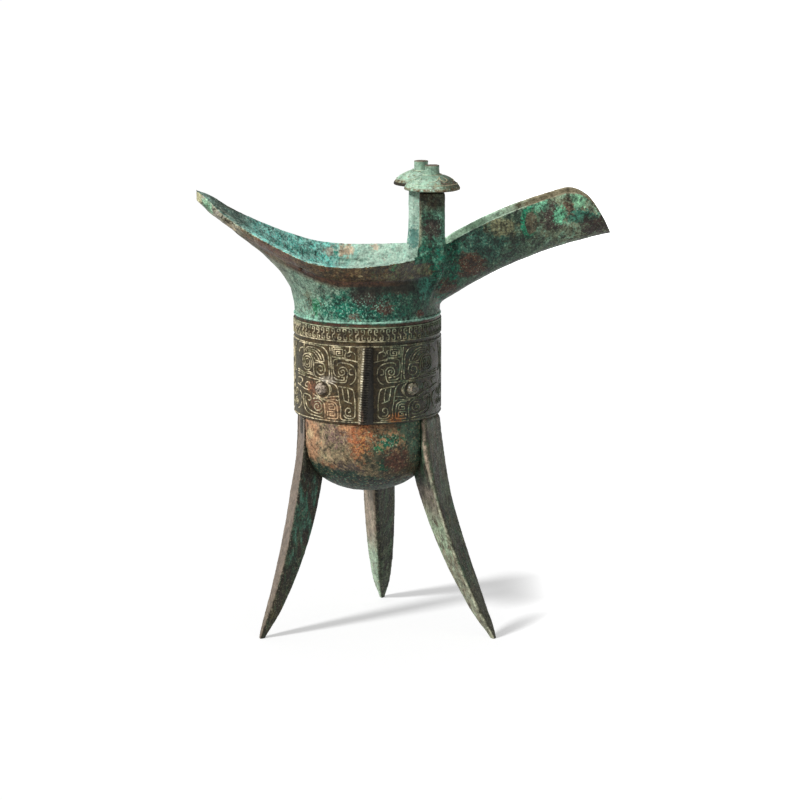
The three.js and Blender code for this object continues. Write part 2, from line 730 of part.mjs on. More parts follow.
// The largest separate body of a cut piece
function largest(body) {
  return body.decompose().reduce((best, part) => (part.volume() > best.volume() ? part : best));
}

const colours = {
  cup: [0x5d5f4a, 0.6, 0.7],
  band: [0x6b6a50, 0.62, 0.6],
  mouth: [0x5f7f68, 0.6, 0.6],
  green: [0x3f6b50, 0.6, 0.6],
  pale: [0x93a690, 0.65, 0.5],
  brown: [0x6a5844, 0.6, 0.7],
};

const POSTS = [
  { name: "post_front", x: POST_FRONT_X, y: POST_FRONT_Y, capZ: rimZ + POST_FRONT_HEIGHT },
  { name: "post_back", x: POST_BACK_X, y: POST_BACK_Y, capZ: rimZ + POST_BACK_HEIGHT },
];
const LEGS = [
  {
    name: "leg_front_left",
    facing: LEG_FRONT_LEFT_FACING,
    angle: LEG_FRONT_LEFT_ANGLE,
    reach: LEG_FRONT_LEFT_REACH,
    splay: LEG_FRONT_LEFT_SPLAY,
  },
  {
    name: "leg_front_right",
    facing: LEG_FRONT_RIGHT_FACING,
    angle: LEG_FRONT_RIGHT_ANGLE,
    reach: LEG_FRONT_RIGHT_REACH,
    splay: LEG_FRONT_RIGHT_SPLAY,
  },
  { name: "leg_back", facing: LEG_BACK_FACING, angle: LEG_BACK_ANGLE, reach: LEG_BACK_REACH, splay: LEG_BACK_SPLAY },
];

const group = new THREE.Group();
const pieces = [];
function add(name, body, [colour, roughness, metalness]) {
  pieces.push({ name, body, colour, roughness, metalness });
}

const { neck, tail } = splitMouth(makeMouth());
const strap = strapSpace(0);
const onBand = bandSpace(GAP);

add("bowl", makeBowl(), colours.cup);
add("mask_band", makeBand(), colours.band);
add("neck", neck, colours.mouth);
add("tail", tail, colours.pale);
add("spout", makeSpout(), colours.green);
for (const post of POSTS) {
  add(post.name, makePost(post), colours.green);
  add(`${post.name}_cap`, makeCap(post), colours.pale);
  add(`${post.name}_finial`, makeFinial(post), colours.pale);
}
for (const leg of LEGS) add(leg.name, makeLeg(leg), colours.brown);
add("front_flange", makeFlange(), colours.band);
add("eye_front_left", makeEye(-90 - EYE_ANGLE), colours.band);
add("eye_front_right", makeEye(-90 + EYE_ANGLE), colours.band);
add("eye_back_left", makeEye(90 + EYE_ANGLE), colours.band);
add("eye_back_right", makeEye(90 - EYE_ANGLE), colours.band);
add("handle_loop", strap.subtract(onBand), colours.brown);
const horns = [hornSpace(-1, GAP), hornSpace(1, GAP)];
const underHead = archSpace(HANDLE_THICKNESS / 2, 4 * HEAD_HALF_WIDTH);
const headRaw = headSpace().subtract(strapSpace(GAP)).subtract(underHead).subtract(onBand);
add("handle_head", largest(headRaw.subtract(horns[0]).subtract(horns[1])), colours.green);
add("handle_horn_left", hornSpace(-1, 0), colours.green);
add("handle_horn_right", hornSpace(1, 0), colours.green);

const whole = new THREE.Box3();
for (const piece of pieces) {
  const mesh = piece.body.getMesh();
  piece.geometry = new THREE.BufferGeometry();
  piece.geometry.setAttribute("position", new THREE.BufferAttribute(mesh.vertProperties, 3));
  piece.geometry.setIndex(new THREE.BufferAttribute(mesh.triVerts, 1));
  piece.geometry.computeBoundingBox();
  whole.union(piece.geometry.boundingBox);
}
const middle = whole.getCenter(new THREE.Vector3());
for (const { name, geometry, colour, roughness, metalness } of pieces) {
  geometry.translate(-middle.x, -middle.y, -whole.min.z);
  geometry.computeVertexNormals();
  const mesh = new THREE.Mesh(geometry, new THREE.MeshStandardMaterial({ color: colour, roughness, metalness }));
  mesh.name = name;
  group.add(mesh);
}

export default group;
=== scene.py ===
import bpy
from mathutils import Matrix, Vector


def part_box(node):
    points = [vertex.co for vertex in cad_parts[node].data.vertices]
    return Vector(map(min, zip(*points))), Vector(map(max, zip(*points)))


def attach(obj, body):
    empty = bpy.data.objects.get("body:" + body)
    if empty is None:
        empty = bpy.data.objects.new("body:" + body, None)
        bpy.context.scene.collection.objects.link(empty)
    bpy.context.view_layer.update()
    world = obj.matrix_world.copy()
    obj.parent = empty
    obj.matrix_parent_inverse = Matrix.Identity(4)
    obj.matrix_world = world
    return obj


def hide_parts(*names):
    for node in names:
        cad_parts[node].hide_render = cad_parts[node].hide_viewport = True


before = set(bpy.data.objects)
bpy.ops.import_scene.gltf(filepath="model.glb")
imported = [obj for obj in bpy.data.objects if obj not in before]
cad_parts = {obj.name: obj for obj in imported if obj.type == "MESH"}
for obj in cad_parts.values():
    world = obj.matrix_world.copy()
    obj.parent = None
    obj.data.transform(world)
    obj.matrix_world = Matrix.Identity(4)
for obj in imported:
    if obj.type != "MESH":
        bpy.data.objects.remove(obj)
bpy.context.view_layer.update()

import math

import bpy
import numpy as np
from mathutils import Matrix, Vector

# Lengths are in millimetres from the cup's axis and the floor, and MM turns them into the frame's metres
MM = 0.001
band_low, band_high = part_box("mask_band")
AXIS = Vector(((band_low.x + band_high.x) / 2, (band_low.y + band_high.y) / 2, 0))
BAND_FOOT = band_low.z / MM
BAND_TOP = band_high.z / MM
BAND_RADIUS = (band_high.x - band_low.x) / 2 / MM

VIEW_ELEVATION = 11.1
VIEW_DISTANCE = 1200
VIEW_CENTRE = (14.2, 0, 102)
VIEW_LENS = 123.4


def place(x, y, z):
    """A point of the frame from millimetres from the cup's axis."""
    return Vector((x, y, z)) * MM + AXIS


def alone(piece):
    """Selects one piece and nothing else."""
    if bpy.context.object and bpy.context.object.mode != "OBJECT":
        bpy.ops.object.mode_set(mode="OBJECT")
    bpy.ops.object.select_all(action="DESELECT")
    bpy.context.view_layer.objects.active = piece
    piece.select_set(True)


def modify(piece, kind, **settings):
    """Adds a modifier to a piece and applies it."""
    alone(piece)
    modifier = piece.modifiers.new(kind.title(), kind)
    for name, value in settings.items():
        setattr(modifier, name, value)
    bpy.ops.object.modifier_apply(modifier=modifier.name)


def edit(piece):
    """Opens a piece for editing with everything in it selected."""
    alone(piece)
    bpy.ops.object.mode_set(mode="EDIT")
    bpy.ops.mesh.select_all(action="SELECT")


def done(piece):
    """Closes a piece that was open for editing."""
    bpy.ops.object.mode_set(mode="OBJECT")
    return piece


def picked(piece, where):
    """Opens a piece for editing with the corners selected whose places from the cup's axis fit."""
    edit(piece)
    bpy.ops.mesh.select_all(action="DESELECT")
    bpy.ops.mesh.select_mode(type="VERT")
    done(piece)
    for corner in piece.data.vertices:
        corner.select = bool(where((corner.co - AXIS) / MM))
    bpy.ops.object.mode_set(mode="EDIT")


def cast_copy(name, *nodes):
    """One new piece with the shapes of some CAD nodes, their corners merged."""
    copies = []
    for node in nodes:
        copy = bpy.data.objects.new(name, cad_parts[node].data.copy())
        bpy.context.scene.collection.objects.link(copy)
        copies.append(copy)
    alone(copies[0])
    for copy in copies[1:]:
        copy.select_set(True)
    if len(copies) > 1:
        bpy.ops.object.join()
    piece = copies[0]
    piece.name = name
    piece.data.materials.clear()
    edit(piece)
    bpy.ops.mesh.remove_doubles(threshold=0.00001)
    bpy.ops.mesh.customdata_custom_splitnormals_clear()
    done(piece)
    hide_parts(*nodes)
    return piece


def weather(piece, size, depth, seed=1):
    """Gives a surface the waves and lumps of old cast metal, about a size wide and a depth high."""
    lumps = bpy.data.textures.new(piece.name + "_lumps", "CLOUDS")
    lumps.noise_scale = size * MM
    lumps.noise_depth = 3
    lumps.noise_basis = ("ORIGINAL_PERLIN", "IMPROVED_PERLIN", "BLENDER_ORIGINAL")[seed % 3]
    modify(piece, "DISPLACE", texture=lumps, texture_coords="LOCAL", strength=depth * MM, mid_level=0.5)


def swell(piece, amount):
    """Makes a piece thicker all round."""
    modify(piece, "DISPLACE", strength=amount * MM, mid_level=0)


def recast(piece, grain, closing=0, passes=4):
    """Casts a piece anew in a fine mesh: gaps narrower than the closing are filled, edges are worn."""
    if closing:
        swell(piece, closing / 2)
    modify(piece, "REMESH", mode="VOXEL", voxel_size=grain * MM, adaptivity=0)
    if closing:
        swell(piece, -closing / 2)
    modify(piece, "SMOOTH", factor=0.5, iterations=passes)


def vectors_of(parts, name):
    """A vector of each corner or face of a piece, as rows."""
    values = np.empty(len(parts) * 3)
    parts.foreach_get(name, values)
    return values.reshape(-1, 3)


def places_of(parts, name):
    """The places of a piece's corners or faces from the cup's axis, in millimetres."""
    return (vectors_of(parts, name) - np.array(AXIS)) / MM


def chosen(piece, where):
    """Weighs a piece's corners by a measure of their places from the cup's axis."""
    weights = np.clip(where(places_of(piece.data.vertices, "co")), 0, 1)
    group = piece.vertex_groups.new(name="chosen")
    for index in np.nonzero(weights > 0.02)[0]:
        group.add([int(index)], float(weights[index]), "REPLACE")
    return group.name


def soften(piece, where, passes):
    """Smooths a piece where a measure of its corners' places says so."""
    modify(piece, "SMOOTH", factor=0.5, iterations=passes, vertex_group=chosen(piece, where))
    piece.vertex_groups.clear()


def press(piece, where, depth):
    """Presses a piece in where a measure of its corners' places says so."""
    modify(piece, "DISPLACE", strength=-depth * MM, mid_level=0, vertex_group=chosen(piece, where))
    piece.vertex_groups.clear()


def stand(piece):
    """Flattens what reaches under the floor."""
    picked(piece, lambda at: at.z < 0)
    bpy.ops.transform.resize(value=(1, 1, 0), center_override=(0, 0, 0))
    done(piece)


def started(name, make, **settings):
    """A new piece that starts as a plain body round the frame's origin."""
    bpy.ops.object.select_all(action="DESELECT")
    make(location=(0, 0, 0), **settings)
    piece = bpy.context.object
    piece.name = name
    return piece


def turned(name, outline, steps, centre=(0, 0)):
    """A body of revolution: a line of points is spun round an upright axis."""
    axis = place(*centre, 0)
    piece = started(name, bpy.ops.mesh.primitive_plane_add, size=MM)
    edit(piece)
    bpy.ops.mesh.merge(type="CENTER")
    bpy.ops.transform.translate(value=axis + Vector((outline[0][0], 0, outline[0][1])) * MM)
    for (r0, z0), (r1, z1) in zip(outline, outline[1:]):
        way = ((r1 - r0) * MM, 0, (z1 - z0) * MM)
        bpy.ops.mesh.extrude_vertices_move(TRANSFORM_OT_translate={"value": way})
    bpy.ops.mesh.select_all(action="SELECT")
    bpy.ops.mesh.spin(steps=steps, angle=math.tau, center=axis, axis=(0, 0, 1))
    bpy.ops.mesh.select_all(action="SELECT")
    bpy.ops.mesh.remove_doubles(threshold=0.00001)
    bpy.ops.mesh.normals_make_consistent(inside=False)
    return done(piece)


def finished(piece, material):
    """Rides a piece on the vessel with its material and smooth shading."""
    alone(piece)
    bpy.ops.object.shade_smooth()
    piece.data.materials.clear()
    piece.data.materials.append(material)
    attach(piece, "root")
    return piece


def painted(piece, materials, choose):
    """Gives each face of a piece one of some materials, by its place from the cup's axis and its normal."""
    faces = piece.data.polygons
    for material in materials[1:]:
        piece.data.materials.append(material)
    choice = choose(places_of(faces, "center"), vectors_of(faces, "normal"))
    faces.foreach_set("material_index", choice.astype(np.int32))
    piece.data.update()


def mark(piece, name, measure):
    """Stores a value at each corner of a piece, from its place from the cup's axis and its normal."""
    values = measure(places_of(piece.data.vertices, "co"), vectors_of(piece.data.vertex_normals, "vector"))
    attribute = piece.data.attributes.new(name, "FLOAT", "POINT")
    attribute.data.foreach_set("value", np.clip(values, 0, 1).astype(np.float32))


# Lines of relief


LINE_STEP = 0.45


def flowing(points):
    """A smooth line through some points, in even short steps."""
    p = np.array([points[0], *points, points[-1]], float)
    line = []
    for a, b, c, d in zip(p, p[1:], p[2:], p[3:]):
        count = max(2, round(np.linalg.norm(c - b) / LINE_STEP))
        for t in np.arange(count) / count:
            bend = (a - 2.5 * b + 2 * c - d / 2) * t**2
            line.append(b + (c - a) * t / 2 + bend + (1.5 * (b - c) + (d - a) / 2) * t**3)
    return [*line, p[-1]]


def straight(points, step=LINE_STEP):
    """A line with corners through some points, in even short steps."""
    p = np.array(points, float)
    line = []
    for a, b in zip(p, p[1:]):
        count = max(2, round(np.linalg.norm(b - a) / step))
        line += [a + (b - a) * t for t in np.arange(count) / count]
    return [*line, p[-1]]


def curl(x, z, radius, turns, start, way=1, squareness=0.0, inner=0.12):
    """A spiral from its outside in. Start is the angle of its outer end, and squareness gives it corners."""
    line = []
    count = max(12, round(turns * math.pi * radius / 0.4))
    for i in range(count + 1):
        share = i / count
        angle = math.radians(start) + way * math.tau * turns * share
        r = radius * (1 - (1 - inner) * share)
        corner = max(abs(math.cos(angle)), abs(math.sin(angle))) ** -squareness
        line.append(np.array((x + r * corner * math.cos(angle), z + r * corner * math.sin(angle))))
    return line


def relief(name, lines, surface, radius):
    """Raised lines: each is drawn flat and laid on a surface, and gets a round section."""
    drawing = bpy.data.curves.new(name, "CURVE")
    drawing.dimensions = "3D"
    drawing.bevel_depth = radius * MM
    drawing.bevel_resolution = 2
    drawing.use_fill_caps = True
    for line in lines:
        spline = drawing.splines.new("POLY")
        spline.points.add(len(line) - 1)
        for i, (point, flat) in enumerate(zip(spline.points, line)):
            point.co = (*surface(*flat), 1)
            point.radius = 0.7 if i in (0, len(line) - 1) else 1
    piece = bpy.data.objects.new(name, drawing)
    bpy.context.scene.collection.objects.link(piece)
    alone(piece)
    bpy.ops.object.convert(target="MESH")
    return bpy.context.object


# Materials


def tone(red, green, blue):
    """A colour from the values 0 to 255 by which it is usually named."""
    shares = (value / 255 for value in (red, green, blue))
    return (*(((s + 0.055) / 1.055) ** 2.4 if s > 0.04 else s / 12.92 for s in shares), 1)


class Wire:
    """A socket of some nodes, with the arithmetic that Math nodes do."""

    def __init__(self, nodes, socket):
        self.nodes = nodes
        self.socket = socket

    def math(self, operation, *values):
        return self.nodes.node("ShaderNodeMath", {"operation": operation}, dict(enumerate(values or (self,))))

    def __add__(self, other):
        return self.math("ADD", self, other)

    def __sub__(self, other):
        return self.math("SUBTRACT", self, other)

    def __rsub__(self, other):
        return self.math("SUBTRACT", other, self)

    def __mul__(self, other):
        return self.math("MULTIPLY", self, other)

    __radd__ = __add__
    __rmul__ = __mul__

    def at_least(self, other):
        return self.math("MAXIMUM", self, other)

    def step(self, start, end, low=0, high=1):
        """The low value up to the start, the high one from the end on, and smooth between."""
        ends = {"From Min": start, "From Max": end, "To Min": low, "To Max": high}
        settings = {"interpolation_type": "SMOOTHSTEP"}
        return self.nodes.node("ShaderNodeMapRange", settings, {"Value": self, **ends})


class Nodes:
    """The nodes of a material or of the world."""

    def __init__(self, owner):
        owner.use_nodes = True
        self.tree = owner.node_tree
        self.tree.nodes.clear()

    def node(self, kind, settings=None, inputs=None, out=0):
        made = self.tree.nodes.new(kind)
        for name, value in (settings or {}).items():
            setattr(made, name, value)
        for name, value in (inputs or {}).items():
            if isinstance(value, Wire):
                self.tree.links.new(value.socket, made.inputs[name])
            else:
                made.inputs[name].default_value = value
        return Wire(self, made.outputs[out]) if made.outputs else None

    def place(self):
        return self.node("ShaderNodeTexCoord", out="Object")

    def mix(self, share, below, above):
        """One colour over another, by a share."""
        return self.node("ShaderNodeMix", {"data_type": "RGBA"}, {0: share, 6: below, 7: above}, 2)


class Finish(Nodes):
    """A material of the vessel, written as expressions of the place from the cup's axis."""

    def __init__(self, name):
        self.material = bpy.data.materials.new(name)
        super().__init__(self.material)
        self.at = self.scaled(self.vector("SUBTRACT", self.place(), tuple(AXIS)), 1 / MM)
        self.x, self.y, self.z = (self.node("ShaderNodeSeparateXYZ", None, {0: self.at}, i) for i in range(3))

    def vector(self, operation, first, second):
        return self.node("ShaderNodeVectorMath", {"operation": operation}, {0: first, 1: second})

    def scaled(self, vector, amount):
        return self.node("ShaderNodeVectorMath", {"operation": "SCALE"}, {0: vector, "Scale": amount})

    def stored(self, name):
        return self.node("ShaderNodeAttribute", {"attribute_name": name}, out="Fac")

    def cloud(self, size, detail, rough, seed, stretch=(1, 1, 1)):
        """Soft random spots of about a size in millimetres, from 0 to 1."""
        drift = (seed * 71.3, seed * 37.1, seed * 13.7)
        moved = self.vector("ADD", self.vector("MULTIPLY", self.at, stretch), drift)
        look = {"Vector": moved, "Scale": 1 / size, "Detail": detail, "Roughness": rough}
        return self.node("ShaderNodeTexNoise", None, look)

    def grains(self, size, seed):
        """The distance from the middle of the nearest of some random grains."""
        moved = self.vector("ADD", self.at, (seed * 31.3, seed * 17.1, seed * 43.7))
        return self.node("ShaderNodeTexVoronoi", None, {"Vector": moved, "Scale": 1 / size})

    def spots(self, size, share, seed, edge=0.05, stretch=(1, 1, 1)):
        """Ragged spots of about a size that cover about a share of the surface."""
        level = 0.5 + (0.5 - share) * 0.42
        return self.cloud(size, 6, 0.62, seed, stretch).step(level - edge, level + edge)

    def near(self, x, y, z, radius, soft=0.3, ragged=0.45, size=3.0, shape=(1, 1, 1), seed=0):
        """A ragged patch round a point. Larger numbers in its shape make it narrower."""
        offset = self.vector("MULTIPLY", self.vector("SUBTRACT", self.at, (x, y, z)), shape)
        distance = self.node("ShaderNodeVectorMath", {"operation": "LENGTH"}, {0: offset}, "Value")
        wobble = (self.cloud(size, 6, 0.72, seed) - 0.5) * (6.5 * radius * ragged)
        return 1 - (distance + wobble).step(radius * (1 - soft), radius * (1 + soft))

    def borders(self, size, width, seed):
        """Thin winding lines, as at the edges of blotches of about a size."""
        return 1 - (self.cloud(size, 5, 0.62, seed) - 0.5).math("ABSOLUTE").step(width * 0.4, width)

    def layers(self, ground, *layers):
        """Colours one over the other, each with the mask that it shows in."""
        colour, *colours = (c if isinstance(c, Wire) else tone(*c) for c in (ground, *(c for _, c in layers)))
        for (share, _), above in zip(layers, colours):
            colour = self.mix(share, colour, above)
        return colour

    def crust(self):
        """The fine crust that all the vessel's surfaces have."""
        pits = self.grains(1.3, 7).step(0.0, 0.35)
        return self.cloud(3.2, 6, 0.62, 5) * 0.9 + self.cloud(0.75, 4, 0.7, 6) * 0.7 + pits * 0.35

    def mottled(self, colour, depth):
        """Dark pits and pale crust over a colour, in grains and in blotches."""
        fine = (self.cloud(0.95, 4, 0.7, 77) - 0.5) * (3.4 * depth)
        blotch = (self.cloud(3.42, 6, 0.66, 78) - 0.5) * (3.4 * depth)
        return self.scaled(colour, (fine + blotch + 1).at_least(0.2))

    def shine(self, colour, roughness, depth, mottle, lumps=None):
        """Closes the material: its colour, roughness, the depth of its bumps and how mottled it is."""
        height = self.crust() + lumps if lumps else self.crust()
        bump = self.node("ShaderNodeBump", None, {"Strength": 1, "Distance": depth * MM, "Height": height})
        look = {"Base Color": self.mottled(colour, mottle), "Roughness": roughness, "Normal": bump}
        shader = self.node("ShaderNodeBsdfPrincipled", None, {**look, "IOR": 1.5, "Specular IOR Level": 0.26})
        self.node("ShaderNodeOutputMaterial", None, {"Surface": shader})
        return self.material


# Colour of the painted highlight along the top edge of the tail's rim
PAINTED_RIM_HIGHLIGHT = (192, 196, 166)
# The mark under_rim is 1 this many millimetres under the mouth's rim
UNDER_RIM = 30


def cast_shine(finish, colour, depth, gloss=0):
    """Closes a material of the mouth's casting, glossier by a share."""
    rough = 0.38 + finish.cloud(2.5, 4, 0.6, 34) * 0.36 - gloss * 0.2
    return finish.shine(colour, rough, 0.36, depth, finish.cloud(1.4, 6, 0.72, 33) * 0.9)


def neck_material():
    finish = Finish("neck_patina_and_painted_light")
    x, z, spots, near = finish.x, finish.z, finish.spots, finish.near
    under = finish.stored("under_rim") * UNDER_RIM
    along = x + (finish.cloud(9, 5, 0.6, 1) - 0.5) * 26
    ragged = (finish.cloud(3, 5, 0.65, 35) - 0.5) * 5
    sparkle = spots(0.8, 0.34, 12, 0.04)
    # Outside of the neck, from the tail's side to the spout's side
    neck = finish.layers(
        (130, 158, 136),
        (spots(3, 0.42, 3), (108, 140, 120)),
        (spots(1.2, 0.36, 36), (146, 162, 142)),
        (near(-24, -20, 151, 2.6, 0.4, 0.6, 2, (1, 1, 0.8), 38), (104, 108, 86)),
        (near(-18.6, -24.8, 147.4, 2.4, 0.3, 0.5, 1.5, seed=41), (94, 92, 72)),
        (along.step(-16, 2), (44, 84, 66)),
        (spots(2.4, 0.4, 42) * along.step(-14, 4), (66, 92, 74)),
        (along.step(24, 36) * z.step(158, 150), (84, 80, 64)),
        (near(-7, -31, 146.4, 9, 0.35, 0.5, 3.5, (0.55, 1, 1.3), 2), (18, 96, 76)),
        (near(8, -31, 144.6, 7, 0.35, 0.5, 3, (0.6, 1, 1.5), 37), (20, 84, 68)),
        (near(-21.4, -22, 147.5, 3.2, 0.3, 0.6, 2, (1.9, 1, 0.6), 7), (36, 118, 74)),
        (near(18, -25, 150, 8, 0.4, 0.7, 3.5, (0.8, 1, 1), 8) * spots(1.6, 0.5, 9), (24, 66, 52)),
        (spots(1.5, 0.4, 43) * along.step(20, 4) * along.step(-26, -12), (22, 104, 82)),
        (near(0, -31, 152.4, 4.4, 0.25, 0.5, 2.5, (0.62, 1, 1), 5), (54, 46, 40)),
        (near(8.2, -30.5, 147.2, 3.2, 0.25, 0.5, 2, (0.7, 1, 1.2), 6), (74, 52, 42)),
        (near(-5, -31, 143.6, 1.9, 0.3, 0.5, 1.5, (0.7, 1, 1), 39), (116, 100, 84)),
        (near(22.6, -21.5, 143.6, 2, 0.3, 0.5, 1.5, (0.7, 1, 1.2), 40), (88, 52, 38)),
        (near(15, -27, 155.5, 3.4, 0.3, 0.7, 2, (0.8, 1, 1), 44), (58, 54, 44)),
        (sparkle * along.step(16, -2) * z.step(153, 148), (140, 206, 182)),
        (sparkle * 0.5, (120, 150, 128)),
        (spots(0.8, 0.34, 13) * 0.7, (22, 44, 34)),
        (finish.borders(4, 0.010, 45) * 0.5, (20, 34, 26)),
        (near(25.5, -20, 160, 4.5, 0.4, 0.5, 2.5, (1.2, 0.5, 0.45), 46), (62, 122, 104)),
        # painted shadow under the rolled lip, over the hollow pressed there
        ((under + ragged).step(13.4, 10.6) * along.step(-18, -2) * x.step(26, 18) * 0.92, (34, 34, 26)),
        ((under + ragged * 0.5).step(10.5, 9) * along.step(-6, -18) * 0.8, (108, 104, 84)),
        ((under + ragged * 0.3).step(9.2, 8.4) * x.step(20, 8), (66, 50, 36)),
        ((under + ragged * 0.3).step(8, 7.4) * along.step(12, -2) * 0.7, (88, 58, 40)),
        # pale specks along the neck's foot: painted glints
        ((z + ragged * 0.3).step(143.4, 142) * spots(1.6, 0.5, 14, 0.1) * x.step(27, 20), (140, 188, 166)),
    )
    # Outside of the tail
    tail = finish.layers(
        (98, 88, 64),
        (spots(4, 0.45, 15, 0.06), (104, 72, 50)),
        (spots(2.4, 0.42, 16, 0.06), (78, 80, 56)),
        (spots(1.4, 0.34, 47, 0.06), (128, 118, 92)),
        (under.step(8, 12), (136, 146, 126)),
        (along.step(-53, -60), (176, 172, 148)),
        (spots(2.2, 0.4, 48, 0.06) * x.step(-56, -62), (168, 162, 154)),
        (near(-60, -13, 182, 3, 0.3, 0.6, 1.6, (0.8, 1, 1.2), 49), (148, 142, 108)),
        (near(-57.3, -13, 180.6, 2.6, 0.2, 0.4, 1.3, (0.75, 1, 1), seed=7), (212, 194, 158)),
        (near(-58, -14, 182.6, 2.2, 0.3, 0.8, 1, (0.5, 1, 1.6), 8), (38, 32, 22)),
        (spots(1, 0.34, 17) * x.step(-48, -56), (96, 94, 74)),
        (near(-68.6, -6, 187.6, 3.6, 0.25, 0.5, 1.8, seed=9), (160, 202, 168)),
        (near(-68.6, -6, 187.6, 2.6, 0.3, 0.8, 1.2, seed=50) * 0.8, (82, 122, 92)),
        (x.step(-70.5, -72), (188, 184, 146)),
        (spots(0.8, 0.3, 18, 0.06) * 0.6, (104, 98, 74)),
        (near(-47, -22, 174, 2, 0.3, 0.4, 1.4, (1.8, 0.6, 0.5), 51), (176, 158, 128)),
        (z.step(160, 152) * 0.8, (118, 142, 124)),
    )
    # Lip round the mouth
    edge = finish.layers(
        (82, 62, 38),
        (spots(4.2, 0.45, 19, 0.06), (58, 48, 28)),
        (near(-38, -24, 173, 9, 0.3, 0.5, 3, (0.5, 1, 1), 52), (96, 62, 44)),
        (spots(1.8, 0.4, 20), (104, 86, 56)),
        (spots(2.6, 0.34, 53) * x.step(8, -20), (98, 62, 42)),
        (x.step(8, 18) * 0.85, (52, 50, 32)),
        (spots(2, 0.42, 54, 0.04) * x.step(0, 14), (96, 104, 74)),
        (near(12.2, -32, 164.3, 1.7, 0.3, 0.5, 1.2, seed=10), (56, 146, 98)),
        (near(12.4, -32, 164.1, 0.8, 0.3, 0.4, 1, seed=55), (18, 40, 28)),
        (near(7.5, -34, 162.5, 1.2, 0.3, 0.5, 1.2, (0.7, 1, 1), 43), (70, 120, 84)),
        (near(-2.4, -35, 161.5, 1, 0.3, 0.3, 1, (0.8, 1, 1.2), 11), (186, 166, 122)),
        (near(16.6, -30, 162.6, 0.7, 0.3, 0.3, 1, seed=44), (190, 180, 150)),
        (spots(0.8, 0.28, 21) * 0.7, (134, 118, 84)),
        (finish.borders(3, 0.012, 56) * 0.5, (36, 28, 18)),
        (spots(3.2, 0.2, 22, 0.04) * 0.6, (78, 98, 74)),
    )
    colour = finish.layers(
        neck,
        (x.step(-30, -38), tail),
        ((under + ragged * 0.12).step(6.9, 6.1) * x.step(-52, -44), edge),
        # painted highlight along the rim's top edge
        (finish.stored("painted_rim_highlight") * 0.9, PAINTED_RIM_HIGHLIGHT),
    )
    depth = 1.45 - x.step(-14, -28) * 0.4
    return cast_shine(finish, colour, depth, under.step(8.0, 7.0) * x.step(-52, -44))


def spout_material():
    finish = Finish("spout_patina_and_painted_shade")
    x, z, spots, near = finish.x, finish.z, finish.spots, finish.near
    colour = finish.layers(
        (56, 80, 62),
        (spots(6, 0.44, 23, 0.06), (44, 52, 38)),
        (spots(2.6, 0.42, 24), (72, 96, 78)),
        (near(50, -12, 172, 8, 0.4, 0.7, 3, (0.7, 0.4, 1), 57), (46, 84, 70)),
        (x.step(43, 37), (36, 78, 62)),
        (spots(1.3, 0.42, 58) * x.step(44, 36), (24, 108, 84)),
        (x.step(68, 88) * z.step(170, 176), (136, 150, 122)),
        (spots(3, 0.42, 25) * x.step(60, 78), (136, 172, 144)),
        (spots(1.6, 0.38, 26) * x.step(62, 80), (98, 100, 76)),
        (near(57.8, -12, 179.8, 5, 0.3, 0.5, 2.5, (0.75, 0.4, 1.2), 15), (112, 112, 82)),
        (near(79, -11, 184, 4.6, 0.3, 0.7, 2.2, (1, 0.4, 0.8), 59), (64, 54, 48)),
        (near(88, -10, 188, 4, 0.3, 0.7, 2, (1, 0.4, 1), 60), (102, 78, 62)),
        (near(73.5, -11, 189.6, 2.6, 0.2, 0.5, 1.5, (0.7, 0.4, 0.9), 14), (114, 180, 144)),
        (near(82.6, -11, 184.8, 2.6, 0.2, 0.5, 1.5, (1, 0.4, 0.7), 12), (116, 192, 150)),
        (near(90.6, -9, 191.2, 3.2, 0.2, 0.5, 1.6, (0.9, 0.4, 0.9), 13), (132, 188, 148)),
        (near(92, -9, 184, 3.6, 0.2, 0.7, 1.5, (0.6, 0.4, 1.3), 61), (66, 128, 106)),
        (near(69.4, -12, 181.9, 5, 0.12, 0.12, 2, (1.35, 0.4, 0.72), 62), (34, 126, 92)),
        (near(70.4, -12, 181.7, 3.3, 0.12, 0.14, 2, (1.2, 0.4, 0.62), 63), (86, 80, 62)),
        (near(45.3, -12, 163.2, 5.2, 0.22, 0.5, 2.5, (0.9, 0.4, 0.9), 16), (78, 54, 40)),
        (near(34.5, -13, 152.5, 4.6, 0.3, 0.6, 2.5, (0.9, 0.4, 1.1), 17), (66, 46, 32)),
        (near(99, -6, 180, 6, 0.35, 0.6, 3, (0.7, 0.4, 1.1), 18), (46, 34, 26)),
        # darker along the spout's underside: painted shade
        ((finish.y + 4.5).step(-2.5, 3.5) * x.step(110, 60) * 0.7, (44, 42, 32)),
        (spots(0.8, 0.36, 27) * (0.7 - x.step(60, 80) * 0.35), (26, 34, 26)),
        (spots(0.8, 0.28, 28) * 0.5, (136, 158, 132)),
        (finish.borders(3.4, 0.010, 64) * 0.5, (22, 26, 18)),
    )
    return cast_shine(finish, colour, 1.65)


